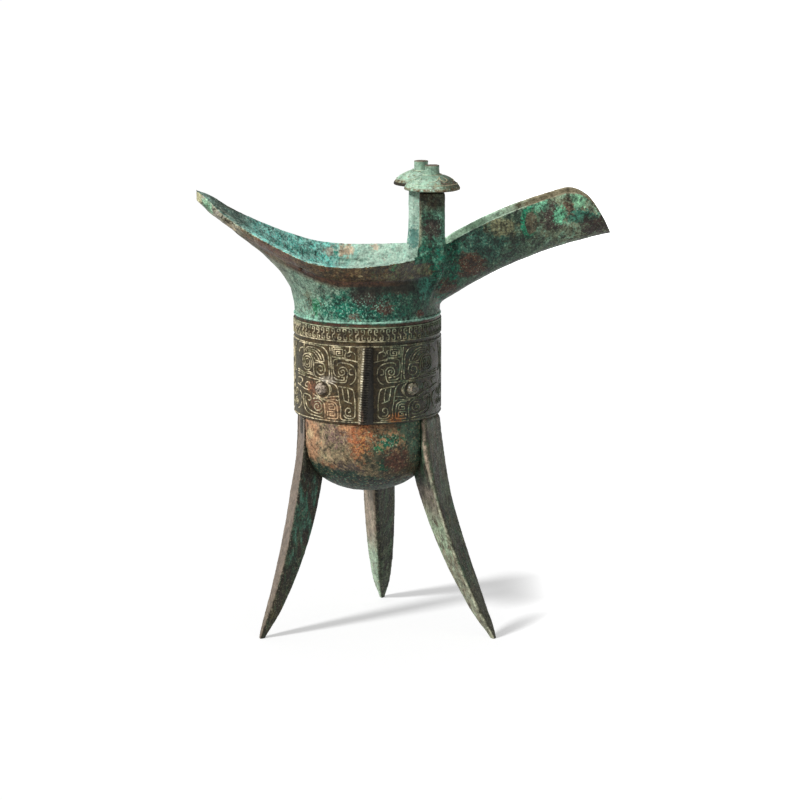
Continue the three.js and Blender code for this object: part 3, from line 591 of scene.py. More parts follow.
def inner_material():
    """Of the tail's trough, the inside of the mouth and the spout's channel."""
    finish = Finish("inner_patina_and_painted_light")
    x, z, spots = finish.x, finish.z, finish.spots
    under = finish.stored("under_rim") * UNDER_RIM
    along = x + (finish.cloud(9, 5, 0.6, 1) - 0.5) * 26
    ragged = (finish.cloud(3, 5, 0.65, 35) - 0.5) * 5
    colour = finish.layers(
        (188, 216, 196),
        (spots(3, 0.4, 65, 0.1), (166, 208, 188)),
        (along.step(-6, -20), (158, 222, 208)),
        (spots(3.2, 0.46, 29, 0.08) * along.step(0, -20), (128, 220, 206)),
        (spots(1.1, 0.3, 66) * along.step(-4, -22), (176, 212, 202)),
        (spots(1, 0.24, 30, 0.04) * along.step(2, -20), (44, 120, 112)),
        (x.step(-46, -56), (118, 152, 138)),
        (spots(1.6, 0.36, 67) * x.step(-46, -58), (86, 116, 104)),
        (spots(1.4, 0.3, 68) * x.step(-48, -60), (150, 158, 146)),
        (finish.near(-10.3, 34, 163.2, 3, 0.25, 0.6, 2.4, (0.7, 1, 1), 19), (198, 176, 148)),
        (finish.near(3.5, 33, 164.6, 2.2, 0.25, 0.6, 2, (0.8, 1, 1), 20), (204, 188, 164)),
        (finish.near(8.4, 31, 160.2, 2, 0.4, 0.6, 1.5, seed=21), (204, 178, 164)),
        (finish.near(-17, 33, 163, 2.6, 0.4, 0.7, 2, (0.8, 1, 1), 69), (170, 166, 150)),
        (finish.near(-14.5, 33, 161.5, 1.8, 0.3, 0.6, 1.5, seed=70), (50, 128, 112)),
        (spots(0.9, 0.24, 71) * 0.6, (110, 150, 132)),
        (spots(0.8, 0.26, 32) * 0.6, (214, 224, 208)),
        (x.step(30, 36), (196, 226, 200)),
        (x.step(56, 74), (160, 150, 122)),
        (spots(1.8, 0.34, 72, 0.06) * x.step(50, 66), (128, 118, 94)),
        # darker deeper inside the mouth: painted shade
        (z.step(158, 146), (86, 108, 88)),
        (z.step(148, 138), (56, 66, 50)),
    )
    colour = finish.layers(
        colour,
        ((under + ragged * 0.1).step(0.8, 0.4) * x.step(-16, -26) * x.step(-70, -58) * 0.7, (92, 84, 66)),
        # painted highlight along the rim's top edge
        (finish.stored("painted_rim_highlight") * 0.9, PAINTED_RIM_HIGHLIGHT),
    )
    return cast_shine(finish, colour, 0.7 + x.step(-4, -24) * 0.5)


def post_material():
    finish = Finish("post_patina")
    x, z, spots = finish.x, finish.z, finish.spots
    ragged = (finish.cloud(3, 5, 0.65, 35) - 0.5) * 5
    near_post = finish.layers(
        (52, 92, 72),
        (spots(4, 0.4, 73), (42, 54, 42)),
        (spots(1.8, 0.42, 50, stretch=(1, 1, 0.5)), (84, 136, 112)),
        ((x + ragged * 0.3).step(29.2, 30.4) * z.step(171, 175), (100, 150, 126)),
        (spots(1.6, 0.36, 77, 0.06, stretch=(1, 1, 0.4)) * x.step(29, 30.4), (70, 112, 92)),
        (finish.near(27.6, -18, 180, 4.4, 0.3, 0.5, 2, (1, 0.3, 0.9), 51), (50, 44, 38)),
        ((x + ragged * 0.2).step(23.9, 22.6) * z.step(168, 174), (150, 152, 126)),
        (z.step(177, 171) * spots(2, 0.5, 52, 0.06), (24, 96, 76)),
        (z.step(184, 191) * 0.85, (66, 50, 36)),
        (spots(0.9, 0.32, 74) * 0.7, (24, 30, 22)),
        (finish.borders(3.2, 0.012, 75) * 0.5, (110, 136, 112)),
    )
    far_post = finish.layers(
        (200, 230, 210),
        (spots(3, 0.4, 54, 0.1), (172, 208, 188)),
        (spots(1.4, 0.3, 55, 0.06), (196, 216, 198)),
        (x.step(26.4, 27.6) * finish.y.step(14, 12.6), (180, 166, 136)),
        (finish.near(20, 14, 172, 2.4, 0.3, 0.6, 1.4, (1, 0.3, 0.5), 76), (110, 158, 146)),
    )
    far = finish.y.step(-2, 2)
    return cast_shine(finish, finish.mix(far, near_post, far_post), 1.45 - far * 0.9)


def cup_material():
    finish = Finish("cup_patina_and_painted_light")
    x, z, spots, near = finish.x, finish.z, finish.spots, finish.near
    inner = finish.stored("inner")
    outer = finish.layers(
        (126, 114, 88),
        (spots(5, 0.42, 1, 0.08), (156, 132, 104)),
        (spots(2, 0.36, 2, 0.06), (104, 102, 76)),
        (near(-12, -27, 92, 5, 0.4, 0.7, 2.5, (0.8, 0.5, 1), 13), (122, 98, 88)),
        (spots(1, 0.38, 14), (168, 148, 114)),
        (x.step(2, 12), (82, 72, 52)),
        (near(9, -29, 97.5, 6, 0.35, 0.6, 3, (0.5, 0.5, 1.4), 2), (150, 108, 78)),
        (near(-6, -30, 96.5, 4.5, 0.35, 0.5, 2.5, (0.7, 0.5, 1.2), 15), (168, 122, 86)),
        (near(-1.6, -30.6, 89.2, 6.4, 0.3, 0.5, 2.6, (1.25, 0.5, 0.7), 1), (172, 106, 70)),
        (
            near(-1.4, -30.6, 90, 5, 0.3, 0.9, 1.6, (1.25, 0.5, 0.8), 16) * spots(1.2, 0.45, 17),
            (216, 160, 94),
        ),
        (spots(1.2, 0.36, 18) * x.step(-8, -4) * x.step(8, 2) * z.step(80, 84), (120, 58, 38)),
        (spots(2, 0.4, 39) * x.step(-12, -6) * x.step(8, 2) * z.step(80, 84), (132, 104, 76)),
        (near(-27, -14, 95, 6, 0.3, 0.5, 2.6, (0.8, 0.5, 0.7), 19), (166, 130, 104)),
        (near(-23.8, -19, 86.5, 4.4, 0.3, 0.5, 2.4, (1.3, 0.5, 0.42), 3), (174, 132, 98)),
        (near(-24.5, -17, 91, 2.2, 0.3, 0.5, 1.6, (1.2, 0.5, 0.8), 20), (186, 160, 122)),
        (near(8, -28, 82, 7, 0.35, 0.7, 2.6, (0.8, 0.5, 0.9), 21), (64, 66, 50)),
        (near(13, -28, 92, 5.2, 0.22, 0.5, 2, (0.72, 0.5, 1.3), 5), (24, 84, 58)),
        (near(8.6, -29, 89, 2.2, 0.22, 0.5, 1.6, (0.6, 0.5, 1), 6), (30, 112, 84)),
        (near(16.8, -26, 94, 3.6, 0.22, 0.5, 1.6, (0.6, 0.5, 0.9), 22), (20, 112, 76)),
        (near(5, -29, 87, 2, 0.22, 0.5, 1.6, (0.7, 0.5, 1), 23), (34, 112, 74)),
        (near(7.6, -26, 78.8, 2.8, 0.25, 0.5, 1.8, (0.8, 0.5, 0.9), 24), (18, 72, 50)),
        (
            near(11.5, -28, 90.8, 7, 0.3, 0.5, 2, (0.7, 0.5, 1.1), 35) * spots(1.4, 0.4, 36, 0.04),
            (44, 60, 42),
        ),
        # pale specks over the green patch: painted glints
        (
            near(11.5, -28, 90.8, 7, 0.3, 0.5, 2, (0.7, 0.5, 1.1), 37) * spots(0.9, 0.3, 38, 0.04),
            (158, 188, 156),
        ),
        (near(12.8, -26, 80.8, 4, 0.3, 0.6, 2.2, (0.8, 0.5, 0.8), 7), (92, 60, 46)),
        (
            near(11, -28, 91, 6, 0.4, 0.7, 1.8, (0.7, 0.5, 1.0), 40) * spots(2.2, 0.46, 41, 0.04),
            (166, 130, 94),
        ),
        (near(15, -27, 97.5, 6, 0.3, 0.7, 2.2, (0.7, 0.5, 1.2), 25), (112, 90, 64)),
        ((x + (z - 85) * 0.4 + (finish.cloud(3, 5, 0.65, 26) - 0.5) * 12).step(16, 19.5), (70, 98, 78)),
        (spots(3, 0.34, 27, 0.06) * x.step(12, 20) * 0.7, (48, 56, 42)),
        (near(-15, -22, 75.5, 4.4, 0.3, 0.6, 2.2, (0.8, 0.5, 1.2), 28), (148, 104, 74)),
        (near(-8, -25, 76.5, 4.6, 0.3, 0.6, 2.2, (0.8, 0.5, 1.2), 29), (84, 74, 66)),
        # darker towards the bowl's rounded bottom, where it turns down: painted shade with a deep green crust
        # and dark spots
        ((z + x * 0.22 + (finish.cloud(3, 5, 0.65, 30) - 0.5) * 9).step(75, 72.4), (26, 56, 44)),
        (spots(2.6, 0.48, 4) * z.step(76, 71), (18, 22, 18)),
        (spots(1.4, 0.28, 42, 0.04) * z.step(76, 71), (96, 138, 112)),
        (spots(1, 0.28, 31) * 0.6, (176, 156, 120)),
        (spots(0.8, 0.28, 32) * 0.5, (64, 54, 38)),
        (finish.borders(3.4, 0.010, 33) * 0.45, (44, 36, 24)),
        (spots(9, 0.3, 8, 0.12) * finish.y.step(0, 10), (66, 84, 66)),
        (z.step(99.6, 100.6) * spots(3, 0.6, 34, 0.1) * x.step(12, 2), (160, 118, 86)),
    )
    inside = finish.layers(
        (70, 72, 54),
        (spots(4, 0.45, 9, 0.08), (60, 82, 64)),
        (spots(1.6, 0.4, 10, 0.06), (96, 104, 82)),
        # darker deeper inside the cup: painted shade
        (z.step(84, 68), (52, 46, 34)),
    )
    colour = finish.mix(inner, outer, inside)
    rough = 0.36 + finish.cloud(3, 4, 0.6, 12) * 0.35
    return finish.shine(colour, rough, 0.3, 1.1, finish.cloud(1.6, 6, 0.7, 11))


def band_ground_material():
    finish = Finish("band_ground")
    x, spots = finish.x, finish.spots
    colour = finish.layers(
        (74, 60, 36),
        (x.step(-4, 12), (40, 38, 26)),
        (spots(4, 0.45, 1, 0.08) * 0.7, (50, 42, 26)),
        (spots(1.3, 0.34, 2, 0.06) * 0.7, (86, 76, 52)),
        (x.step(-26, -31), (78, 74, 56)),
        (finish.near(-14.9, -28, 103.6, 3.4, 0.4, 0.6, 2, (1, 0.5, 0.7), 1), (122, 94, 68)),
        (finish.near(-22.8, -21, 111.8, 1.8, 0.4, 0.8, 1.2, (0.8, 0.5, 0.8), 2), (140, 98, 74)),
        (finish.near(-21.5, -23, 105.2, 2.4, 0.4, 0.8, 1.4, (0.8, 0.5, 0.8), 10), (112, 82, 62)),
        (finish.near(-16.5, -27, 116.2, 1.6, 0.4, 0.6, 1.4, (0.6, 0.5, 1.2), 8), (150, 140, 122)),
        (finish.near(12.4, -30, 100, 2, 0.4, 0.6, 1.6, (0.8, 0.5, 1.2), 9), (116, 76, 44)),
        (spots(2.4, 0.34, 3, 0.06) * x.step(4, 18), (56, 74, 58)),
        (finish.z.step(139.4, 139.8) * spots(2.5, 0.7, 6, 0.1), (82, 52, 38)),
        (finish.z.step(139.6, 140) * spots(3.5, 0.36, 7, 0.1), (36, 84, 62)),
        # the bead at the band's top painted pale teal: a painted highlight along it
        (finish.z.step(140.7, 140.9), (152, 200, 178)),
        (spots(0.9, 0.3, 4) * 0.6, (30, 28, 20)),
    )
    return finish.shine(colour, 0.36 + finish.cloud(2, 4, 0.6, 5) * 0.3, 0.3, 0.95)


def line_material():
    finish = Finish("relief_lines")
    x = finish.x
    colour = finish.layers(
        (212, 198, 164),
        (x.step(-2, 12), (112, 122, 98)),
        (finish.spots(3.4, 0.42, 1, 0.08), (134, 130, 100)),
        (finish.spots(1.6, 0.36, 2, 0.06) * x.step(-30, -4), (192, 184, 152)),
        (finish.spots(2.6, 0.34, 3, 0.06), (98, 92, 66)),
        (x.step(20, 27), (76, 80, 62)),
        (finish.near(-14.9, -28, 103.6, 4.4, 0.4, 0.6, 2, (1, 0.5, 0.7), 1), (196, 164, 128)),
        (finish.near(-23.2, -21, 111.8, 2.4, 0.3, 0.6, 1.4, (1, 0.5, 0.7), 6), (178, 126, 92)),
        (finish.near(-16.5, -27, 116.2, 2.4, 0.4, 0.6, 1.4, (0.6, 0.5, 1.2), 7), (196, 186, 168)),
        (finish.near(12.4, -30, 100, 2.6, 0.4, 0.6, 1.6, (0.8, 0.5, 1.2), 8), (170, 112, 66)),
        (finish.spots(2, 0.3, 4, 0.06) * x.step(2, 16), (74, 92, 72)),
        (finish.z.step(136, 140) * 0.6, (132, 150, 122)),
        (finish.y.step(0, 8) * 0.55, (84, 92, 70)),
    )
    return finish.shine(colour, 0.42 + finish.cloud(1.5, 4, 0.6, 5) * 0.3, 0.2, 1.2)


def flange_material():
    finish = Finish("flange_patina_and_painted_light")
    x = finish.x + (finish.cloud(2, 4, 0.6, 5) - 0.5) * 0.9 - (finish.z - 115) * 0.059
    teeth = (finish.z * (math.tau / 1.06)).math("SINE").step(-0.6, 0.4)
    colour = finish.layers(
        (116, 104, 78),
        (finish.spots(3, 0.45, 1, 0.08), (92, 82, 58)),
        (finish.spots(1.2, 0.36, 2, 0.06), (146, 134, 106)),
        # from the crest's left edge on: a paler band, with painted highlight dots on the teeth
        (x.step(-2.75, -2.35), (132, 120, 94)),
        (x.step(-2.75, -2.35) * teeth * finish.spots(1.6, 0.74, 8, 0.1), (214, 206, 180)),
        # the front face and the right flank, turned from the light, painted dark: painted shade
        (x.step(-1.85, -1.55), (58, 52, 42)),
        (x.step(-1.2, -0.8), (30, 27, 22)),
        # a dotted painted sheen down the dark flank
        (teeth * 0.45 * x.step(0, 0.3) * x.step(1.2, 0.9), (66, 64, 56)),
        (finish.spots(1, 0.3, 3) * 0.6, (44, 38, 28)),
        (finish.z.step(106, 100) * finish.spots(1.6, 0.5, 6, 0.06) * x.step(0, -1.5), (128, 104, 86)),
    )
    return finish.shine(colour, 0.4 + finish.cloud(2, 4, 0.6, 4) * 0.3, 0.16, 1.1)


def eye_material():
    finish = Finish("eye_patina")
    colour = finish.layers(
        (180, 164, 146),
        (finish.x.step(0, 14), (116, 114, 96)),
        (finish.spots(1.8, 0.45, 1, 0.08), (54, 46, 36)),
        (finish.spots(1, 0.26, 2, 0.06), (170, 156, 134)),
    )
    return finish.shine(colour, 0.14 + finish.cloud(1.5, 4, 0.6, 3) * 0.14, 0.06, 1.0)


def leg_material(place_of_leg):
    """The left, right or back leg's: plain outer faces, sides painted paler where they turn to the key light
    and darker where they turn away, as painted light and shade over their own crust, and long stains down the
    blade.
    """
    finish = Finish("leg_patina_and_painted_light_" + place_of_leg)
    z, spots = finish.z, finish.spots
    down = (1, 1, 0.3)
    outer = finish.stored("outer")
    rim = finish.stored("rim")
    left_side = finish.stored("left_side")
    wavy = (finish.cloud(6, 5, 0.65, 20, down) - 0.5) * 30
    brown = spots(4, 0.42, 1, stretch=down)
    fine_brown = spots(1.5, 0.4, 2, stretch=down)
    if place_of_leg == "left":
        side = finish.layers(
            (44, 40, 30),
            (spots(3, 0.4, 3, 0.06, stretch=down), (56, 62, 46)),
            ((z + wavy).step(76, 66), (58, 80, 62)),
            ((z + wavy).step(70, 64) * (z + wavy).step(38, 46), (64, 112, 92)),
            (spots(2.4, 0.4, 4, 0.06, stretch=down) * z.step(72, 66) * z.step(30, 40), (100, 152, 130)),
            ((z + wavy * 0.5).step(30, 14), (92, 88, 62)),
            (brown, (50, 42, 30)),
            (spots(2.2, 0.36, 5, stretch=down) * z.step(60, 40), (74, 92, 68)),
            (fine_brown * 0.8, (38, 36, 26)),
        )
    elif place_of_leg == "right":
        side = finish.layers(
            (70, 78, 58),
            (brown, (96, 108, 84)),
            (z.step(64, 76) * spots(3, 0.5, 24, 0.06, stretch=down), (88, 80, 62)),
            (spots(3.4, 0.34, 25, stretch=down) * z.step(60, 50), (112, 104, 82)),
            (spots(5, 0.4, 3, 0.06, stretch=down), (56, 46, 36)),
            (spots(2.2, 0.36, 4, 0.06, stretch=down), (62, 90, 68)),
            (z.step(30, 14) * 0.8, (84, 82, 66)),
            (fine_brown * 0.7, (44, 44, 32)),
        )
    else:
        side = finish.layers(
            (58, 62, 46),
            (brown, (40, 36, 26)),
            (spots(3, 0.42, 3, 0.06, stretch=down), (80, 100, 76)),
            (z.step(36, 16) * spots(2.4, 0.5, 4, 0.08, stretch=down), (98, 112, 88)),
            (fine_brown * 0.7, (36, 36, 26)),
        )
    # sides turned to the key light: their pale crust with painted light on it
    pale_and_lit_side = finish.layers(
        (120, 110, 98),
        (spots(4, 0.42, 6, 0.06, stretch=down), (96, 86, 74)),
        ((z + wavy * 0.5).step(62, 50), (140, 144, 120)),
        ((z + wavy * 0.4).step(56, 48) * (z + wavy * 0.4).step(30, 40), (148, 168, 138)),
        (spots(2.6, 0.4, 7, 0.06, stretch=down) * z.step(50, 40), (134, 124, 102)),
        (spots(1.3, 0.3, 8, stretch=down) * z.step(60, 50), (170, 182, 156)),
        (spots(1.6, 0.34, 9, stretch=down), (88, 84, 64)),
    )
    ridge = (38, 32, 24)
    plain = finish.layers(
        (132, 117, 103),
        (spots(4, 0.45, 10, 0.1, stretch=down), (120, 106, 94)),
        (finish.y.step(26, 34) * 0.7, (92, 92, 72)),
        (z.step(30, 10) * 0.6, (118, 106, 90)),
        (spots(1.4, 0.3, 11, stretch=down) * 0.5, (104, 92, 78)),
    )
    if place_of_leg == "right":
        ridge = finish.layers((206, 206, 178), (z.step(70, 76), (186, 164, 144)))
        pale_and_lit_side = finish.layers(
            pale_and_lit_side,
            (z.step(66, 70), (66, 88, 68)),
            (brown * z.step(64, 68), (48, 46, 34)),
        )
        plain = finish.layers(side, (spots(2.6, 0.3, 12, 0.06, stretch=down) * 0.6, (100, 102, 84)))
    if place_of_leg == "back":
        pale_and_lit_side = finish.layers(
            (160, 144, 126),
            (spots(3, 0.4, 13, 0.08, stretch=down), (138, 126, 108)),
            ((z + wavy * 0.5).step(36, 22), (164, 186, 160)),
            (spots(1.5, 0.3, 14, stretch=down), (132, 126, 104)),
        )
    # faces marked left_side turn to the key light and get painted light; the other sides keep the darker
    # colours as painted shade
    colour = finish.layers(
        side,
        (left_side, pale_and_lit_side),
        (outer, plain),
        (rim * spots(3, 0.72, 15, 0.1), ridge),
        (spots(0.8, 0.28, 16) * 0.5, (158, 152, 128)),
        (spots(0.9, 0.26, 17) * 0.6, (40, 38, 28)),
    )
    depth = 1.15 - outer * 0.6 - left_side * 0.4
    return finish.shine(colour, 0.36 + finish.cloud(2.5, 4, 0.6, 18) * 0.35, 0.22, depth)


def cap_material():
    finish = Finish("cap_patina_and_painted_shade")
    x, z, spots = finish.x, finish.z, finish.spots
    drift = (finish.cloud(4, 5, 0.6, 1) - 0.5) * 9
    side = x - finish.y.step(4, 8) * 9 + drift
    colour = finish.layers(
        (168, 204, 178),
        (spots(3, 0.42, 2, 0.06), (184, 212, 190)),
        (spots(2.6, 0.3, 8, 0.06), (146, 168, 138)),
        (spots(2.2, 0.24, 9), (150, 140, 114)),
        (side.step(30, 35), (90, 94, 76)),
        (spots(1.8, 0.42, 3) * side.step(28, 34), (122, 102, 86)),
        (finish.near(32.4, -20, 198.8, 1.5, 0.25, 0.4, 1.2, seed=10), (136, 112, 94)),
        (spots(1.2, 0.36, 11) * side.step(30, 35), (60, 92, 70)),
        (z.step(198.2, 197.2) * spots(2, 0.6, 4, 0.08), (112, 92, 68)),
        (z.step(198, 197.2) * spots(1.2, 0.4, 12, 0.06), (150, 150, 120)),
        (z.step(200.4, 201.6) * 0.55, (112, 142, 122)),
        (spots(1, 0.26, 5) * 0.4, (204, 226, 206)),
        (spots(0.9, 0.24, 6) * 0.4, (72, 76, 58)),
        (finish.stored("whorl") * side.step(24, 31) * 0.85, (186, 178, 146)),
        (finish.stored("whorl") * side.step(31, 24) * 0.6, (206, 222, 196)),
        # painted shade on the cap's underside
        (z.step(196.7, 196.2), (52, 46, 34)),
        ((z + finish.y.step(-4, 4) * 1.4).step(206.3, 206.6) * 0.8, (116, 88, 74)),
    )
    return finish.shine(colour, 0.42 + finish.cloud(2, 4, 0.6, 7) * 0.3, 0.14, 0.55)


def handle_material():
    finish = Finish("handle_patina")
    colour = finish.layers(
        (96, 90, 66),
        (finish.spots(6, 0.5, 1, 0.1), (72, 84, 64)),
        (finish.spots(2.6, 0.4, 2, 0.06), (96, 128, 102)),
        (finish.spots(1.8, 0.3, 3), (60, 50, 34)),
        (finish.spots(1, 0.3, 4) * 0.7, (156, 148, 116)),
        (finish.spots(0.9, 0.26, 5) * 0.7, (40, 40, 28)),
    )
    return finish.shine(colour, 0.34 + finish.cloud(2, 4, 0.6, 6) * 0.35, 0.26, 0.95)


# Cup, mouth, tail and spout

mouth = cast_copy("mouth_spout_and_posts", "neck", "tail", "spout", "post_front", "post_back")
# Each post's foot runs down into the wall as a wedge
for name in ("post_front", "post_back"):
    low, high = ((corner - AXIS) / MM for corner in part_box(name))
    inside = lambda at: all(low[i] - 0.01 < at[i] < high[i] + 0.01 for i in range(3))
    picked(mouth, lambda at: at.z < low.z + 0.1 and inside(at))
    bpy.ops.mesh.extrude_region_move(TRANSFORM_OT_translate={"value": (0, 0, -13 * MM)})
    wall = place(26.8, 14.9 * (1 if low.y > 0 else -1), 0)
    bpy.ops.transform.resize(value=(0.16, 0.2, 1), center_override=wall)
    done(mouth)
# The tail's tip is rounded and stands a little higher
picked(mouth, lambda at: at.x < -72.4)
bpy.ops.transform.translate(
    value=(1.2 * MM, 0, 1.3 * MM),
    use_proportional_edit=True,
    proportional_size=16 * MM,
    proportional_edit_falloff="SMOOTH",
)
done(mouth)
recast(mouth, 0.6, closing=0.6, passes=4)


def middle_of(node):
    """The middle of a node's box from the cup's axis, in millimetres."""
    low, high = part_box(node)
    return ((low + high) / 2 - AXIS) / MM


def between(value, start, end):
    """0 up to the start, 1 from the end on, and even between."""
    return np.clip((value - start) / (end - start), 0, 1)


def joints_of_mouth(at):
    """Where the posts and the spout grow out of the neck, as a share of how soft the joint is."""
    x, y, z = at.T
    feet = between(np.abs(z - 168), 9, 4) * between(np.abs(x - 26.5), 11, 8) * between(np.abs(y), 9.5, 12.5)
    root = between(np.abs(x - 30.5), 6, 0) * between(z, 166, 161) * between(z, 143, 146)
    return np.maximum(feet, root)


def rim_height(at):
    """The height of the mouth's rim over each corner, towards the tail."""
    return 165.6 + 28 * between(at[:, 0], -10, -73.8) ** 1.35


def under_lip(at):
    """The hollow under the rolled lip, on the outside of the neck."""
    x, y, z = at.T
    under = rim_height(at) - z
    hollow = between(under, 5.6, 6.6) * between(under, 13.5, 7)
    ends = between(x, 26, 20) * between(x, -52, -42)
    return hollow * ends * between(np.hypot(x, y) - 0.2 * np.clip(10 - under, 0, 6), 29.4, 30.1)


soften(mouth, joints_of_mouth, 26)
press(mouth, under_lip, 0.75)
weather(mouth, 9, 0.5, 1)
weather(mouth, 2.2, 0.2, 2)


def outward(at, normal):
    """How far a corner's normal looks away from the axis and down, from -1 to 1."""
    x, y, _ = at.T
    radial = (x * normal[:, 0] + y * normal[:, 1]) / (np.hypot(x, y) + 1e-6)
    side = np.sign(y) * normal[:, 1]
    spout = between(x, 30, 36)
    return (1 - spout) * radial + spout * side - 0.9 * normal[:, 2]


def painted_rim_highlight(at, normal):
    """A painted highlight: the lit edge between the tail's trough and its outside."""
    x, y, z = at.T
    edge = np.clip(1.3 - np.abs(outward(at, normal)) / 0.3, 0, 1) * (rim_height(at) - z < 3) * (y < 0)
    return edge * between(x, -16, -22) * between(x, -66, -58)


mark(mouth, "under_rim", lambda at, normal: (rim_height(at) - at[:, 2]) / UNDER_RIM)
mark(mouth, "painted_rim_highlight", painted_rim_highlight)


def part_of_mouth(at, normal):
    """0 for the neck and tail, 1 for the spout, 2 for the insides and 3 for the posts."""
    x, y, z = at.T
    wavy = np.sin(z * 1.9) + np.sin(z * 4.3 + 1) * 0.6
    part = np.where(x + (z - 150) * 0.2 + wavy > 30, 1, 0)
    part = np.where(outward(at, normal) < 0, 2, part)
    # The lip's underside and a pit in it look up a little, but they are outside
    reach = np.hypot(x, y)
    under_it = (rim_height(at) - z > 3) & (z > 150) & (x < 20) & (reach > 33) & (normal[:, 1] < 0.15)
    lip_pit = (np.hypot(x + 29, z - 164) < 2.5) & (reach > 39.2)
    part = np.where((under_it | lip_pit) & (part == 2) & (y < -20), 0, part)
    near = (np.abs(x - middle_of("post_front").x) < 7.5) & (y < -11.3) & (z + wavy > 166)
    far = (np.abs(x - middle_of("post_back").x) < 7.5) & (y > 11.3) & (z + wavy > 165.5)
    return np.where(near | far, 3, part)


mouth_materials = [neck_material(), spout_material(), inner_material(), post_material()]
finished(mouth, mouth_materials[0])
painted(mouth, mouth_materials, part_of_mouth)

cup = cast_copy("cup", "bowl")
recast(cup, 0.64, closing=0, passes=12)
weather(cup, 8, 0.5, 2)
weather(cup, 2.0, 0.24, 1)
mark(cup, "inner", lambda at, normal: 0.5 - outward(at, normal) * 3)
finished(cup, cup_material())

# Mask band

GROUND_RADIUS = BAND_RADIUS + 0.05
STRIP_FOOT = 35.8
STRIP_TOP = 41.6
MASK_TOP = 33.6
MASK_FOOT = 0.9
QUARTER = math.pi / 2 * GROUND_RADIUS
LINE_RADIUS = 0.25

sleeve_inner = BAND_RADIUS - 1.5
sleeve = turned(
    "band_ground",
    [
        (sleeve_inner, BAND_FOOT - 0.25),
        (GROUND_RADIUS - 0.4, BAND_FOOT - 0.25),
        (GROUND_RADIUS, BAND_FOOT + 0.2),
        *((GROUND_RADIUS, BAND_FOOT + 0.2 + i) for i in range(2, 34, 2)),
        (GROUND_RADIUS, BAND_FOOT + 34.2),
        (GROUND_RADIUS - 0.5, BAND_FOOT + 34.6),
        (GROUND_RADIUS, BAND_FOOT + 35.0),
        *((GROUND_RADIUS, BAND_FOOT + 35.0 + i) for i in range(2, 8, 2)),
        (GROUND_RADIUS - 0.45, BAND_FOOT + 42.3),
        (GROUND_RADIUS - 0.45, BAND_FOOT + 43.1),
        (GROUND_RADIUS + 0.15, BAND_TOP),
        (GROUND_RADIUS + 0.2, BAND_TOP + 0.5),
        (GROUND_RADIUS - 0.6, BAND_TOP + 0.95),
        (sleeve_inner, BAND_TOP + 0.2),
        (sleeve_inner, BAND_FOOT - 0.25),
    ],
    168,
)
modify(sleeve, "SUBSURF", levels=1, render_levels=1)
weather(sleeve, 6, 0.3, 1)
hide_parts("mask_band")
band_ground = band_ground_material()
relief_lines = line_material()
finished(sleeve, band_ground)


def on_band(along, up):
    """A place on the band: along it from the flange in front, and up from its lower edge."""
    angle = along / GROUND_RADIUS
    return place(GROUND_RADIUS * math.sin(angle), -GROUND_RADIUS * math.cos(angle), BAND_FOOT + up)


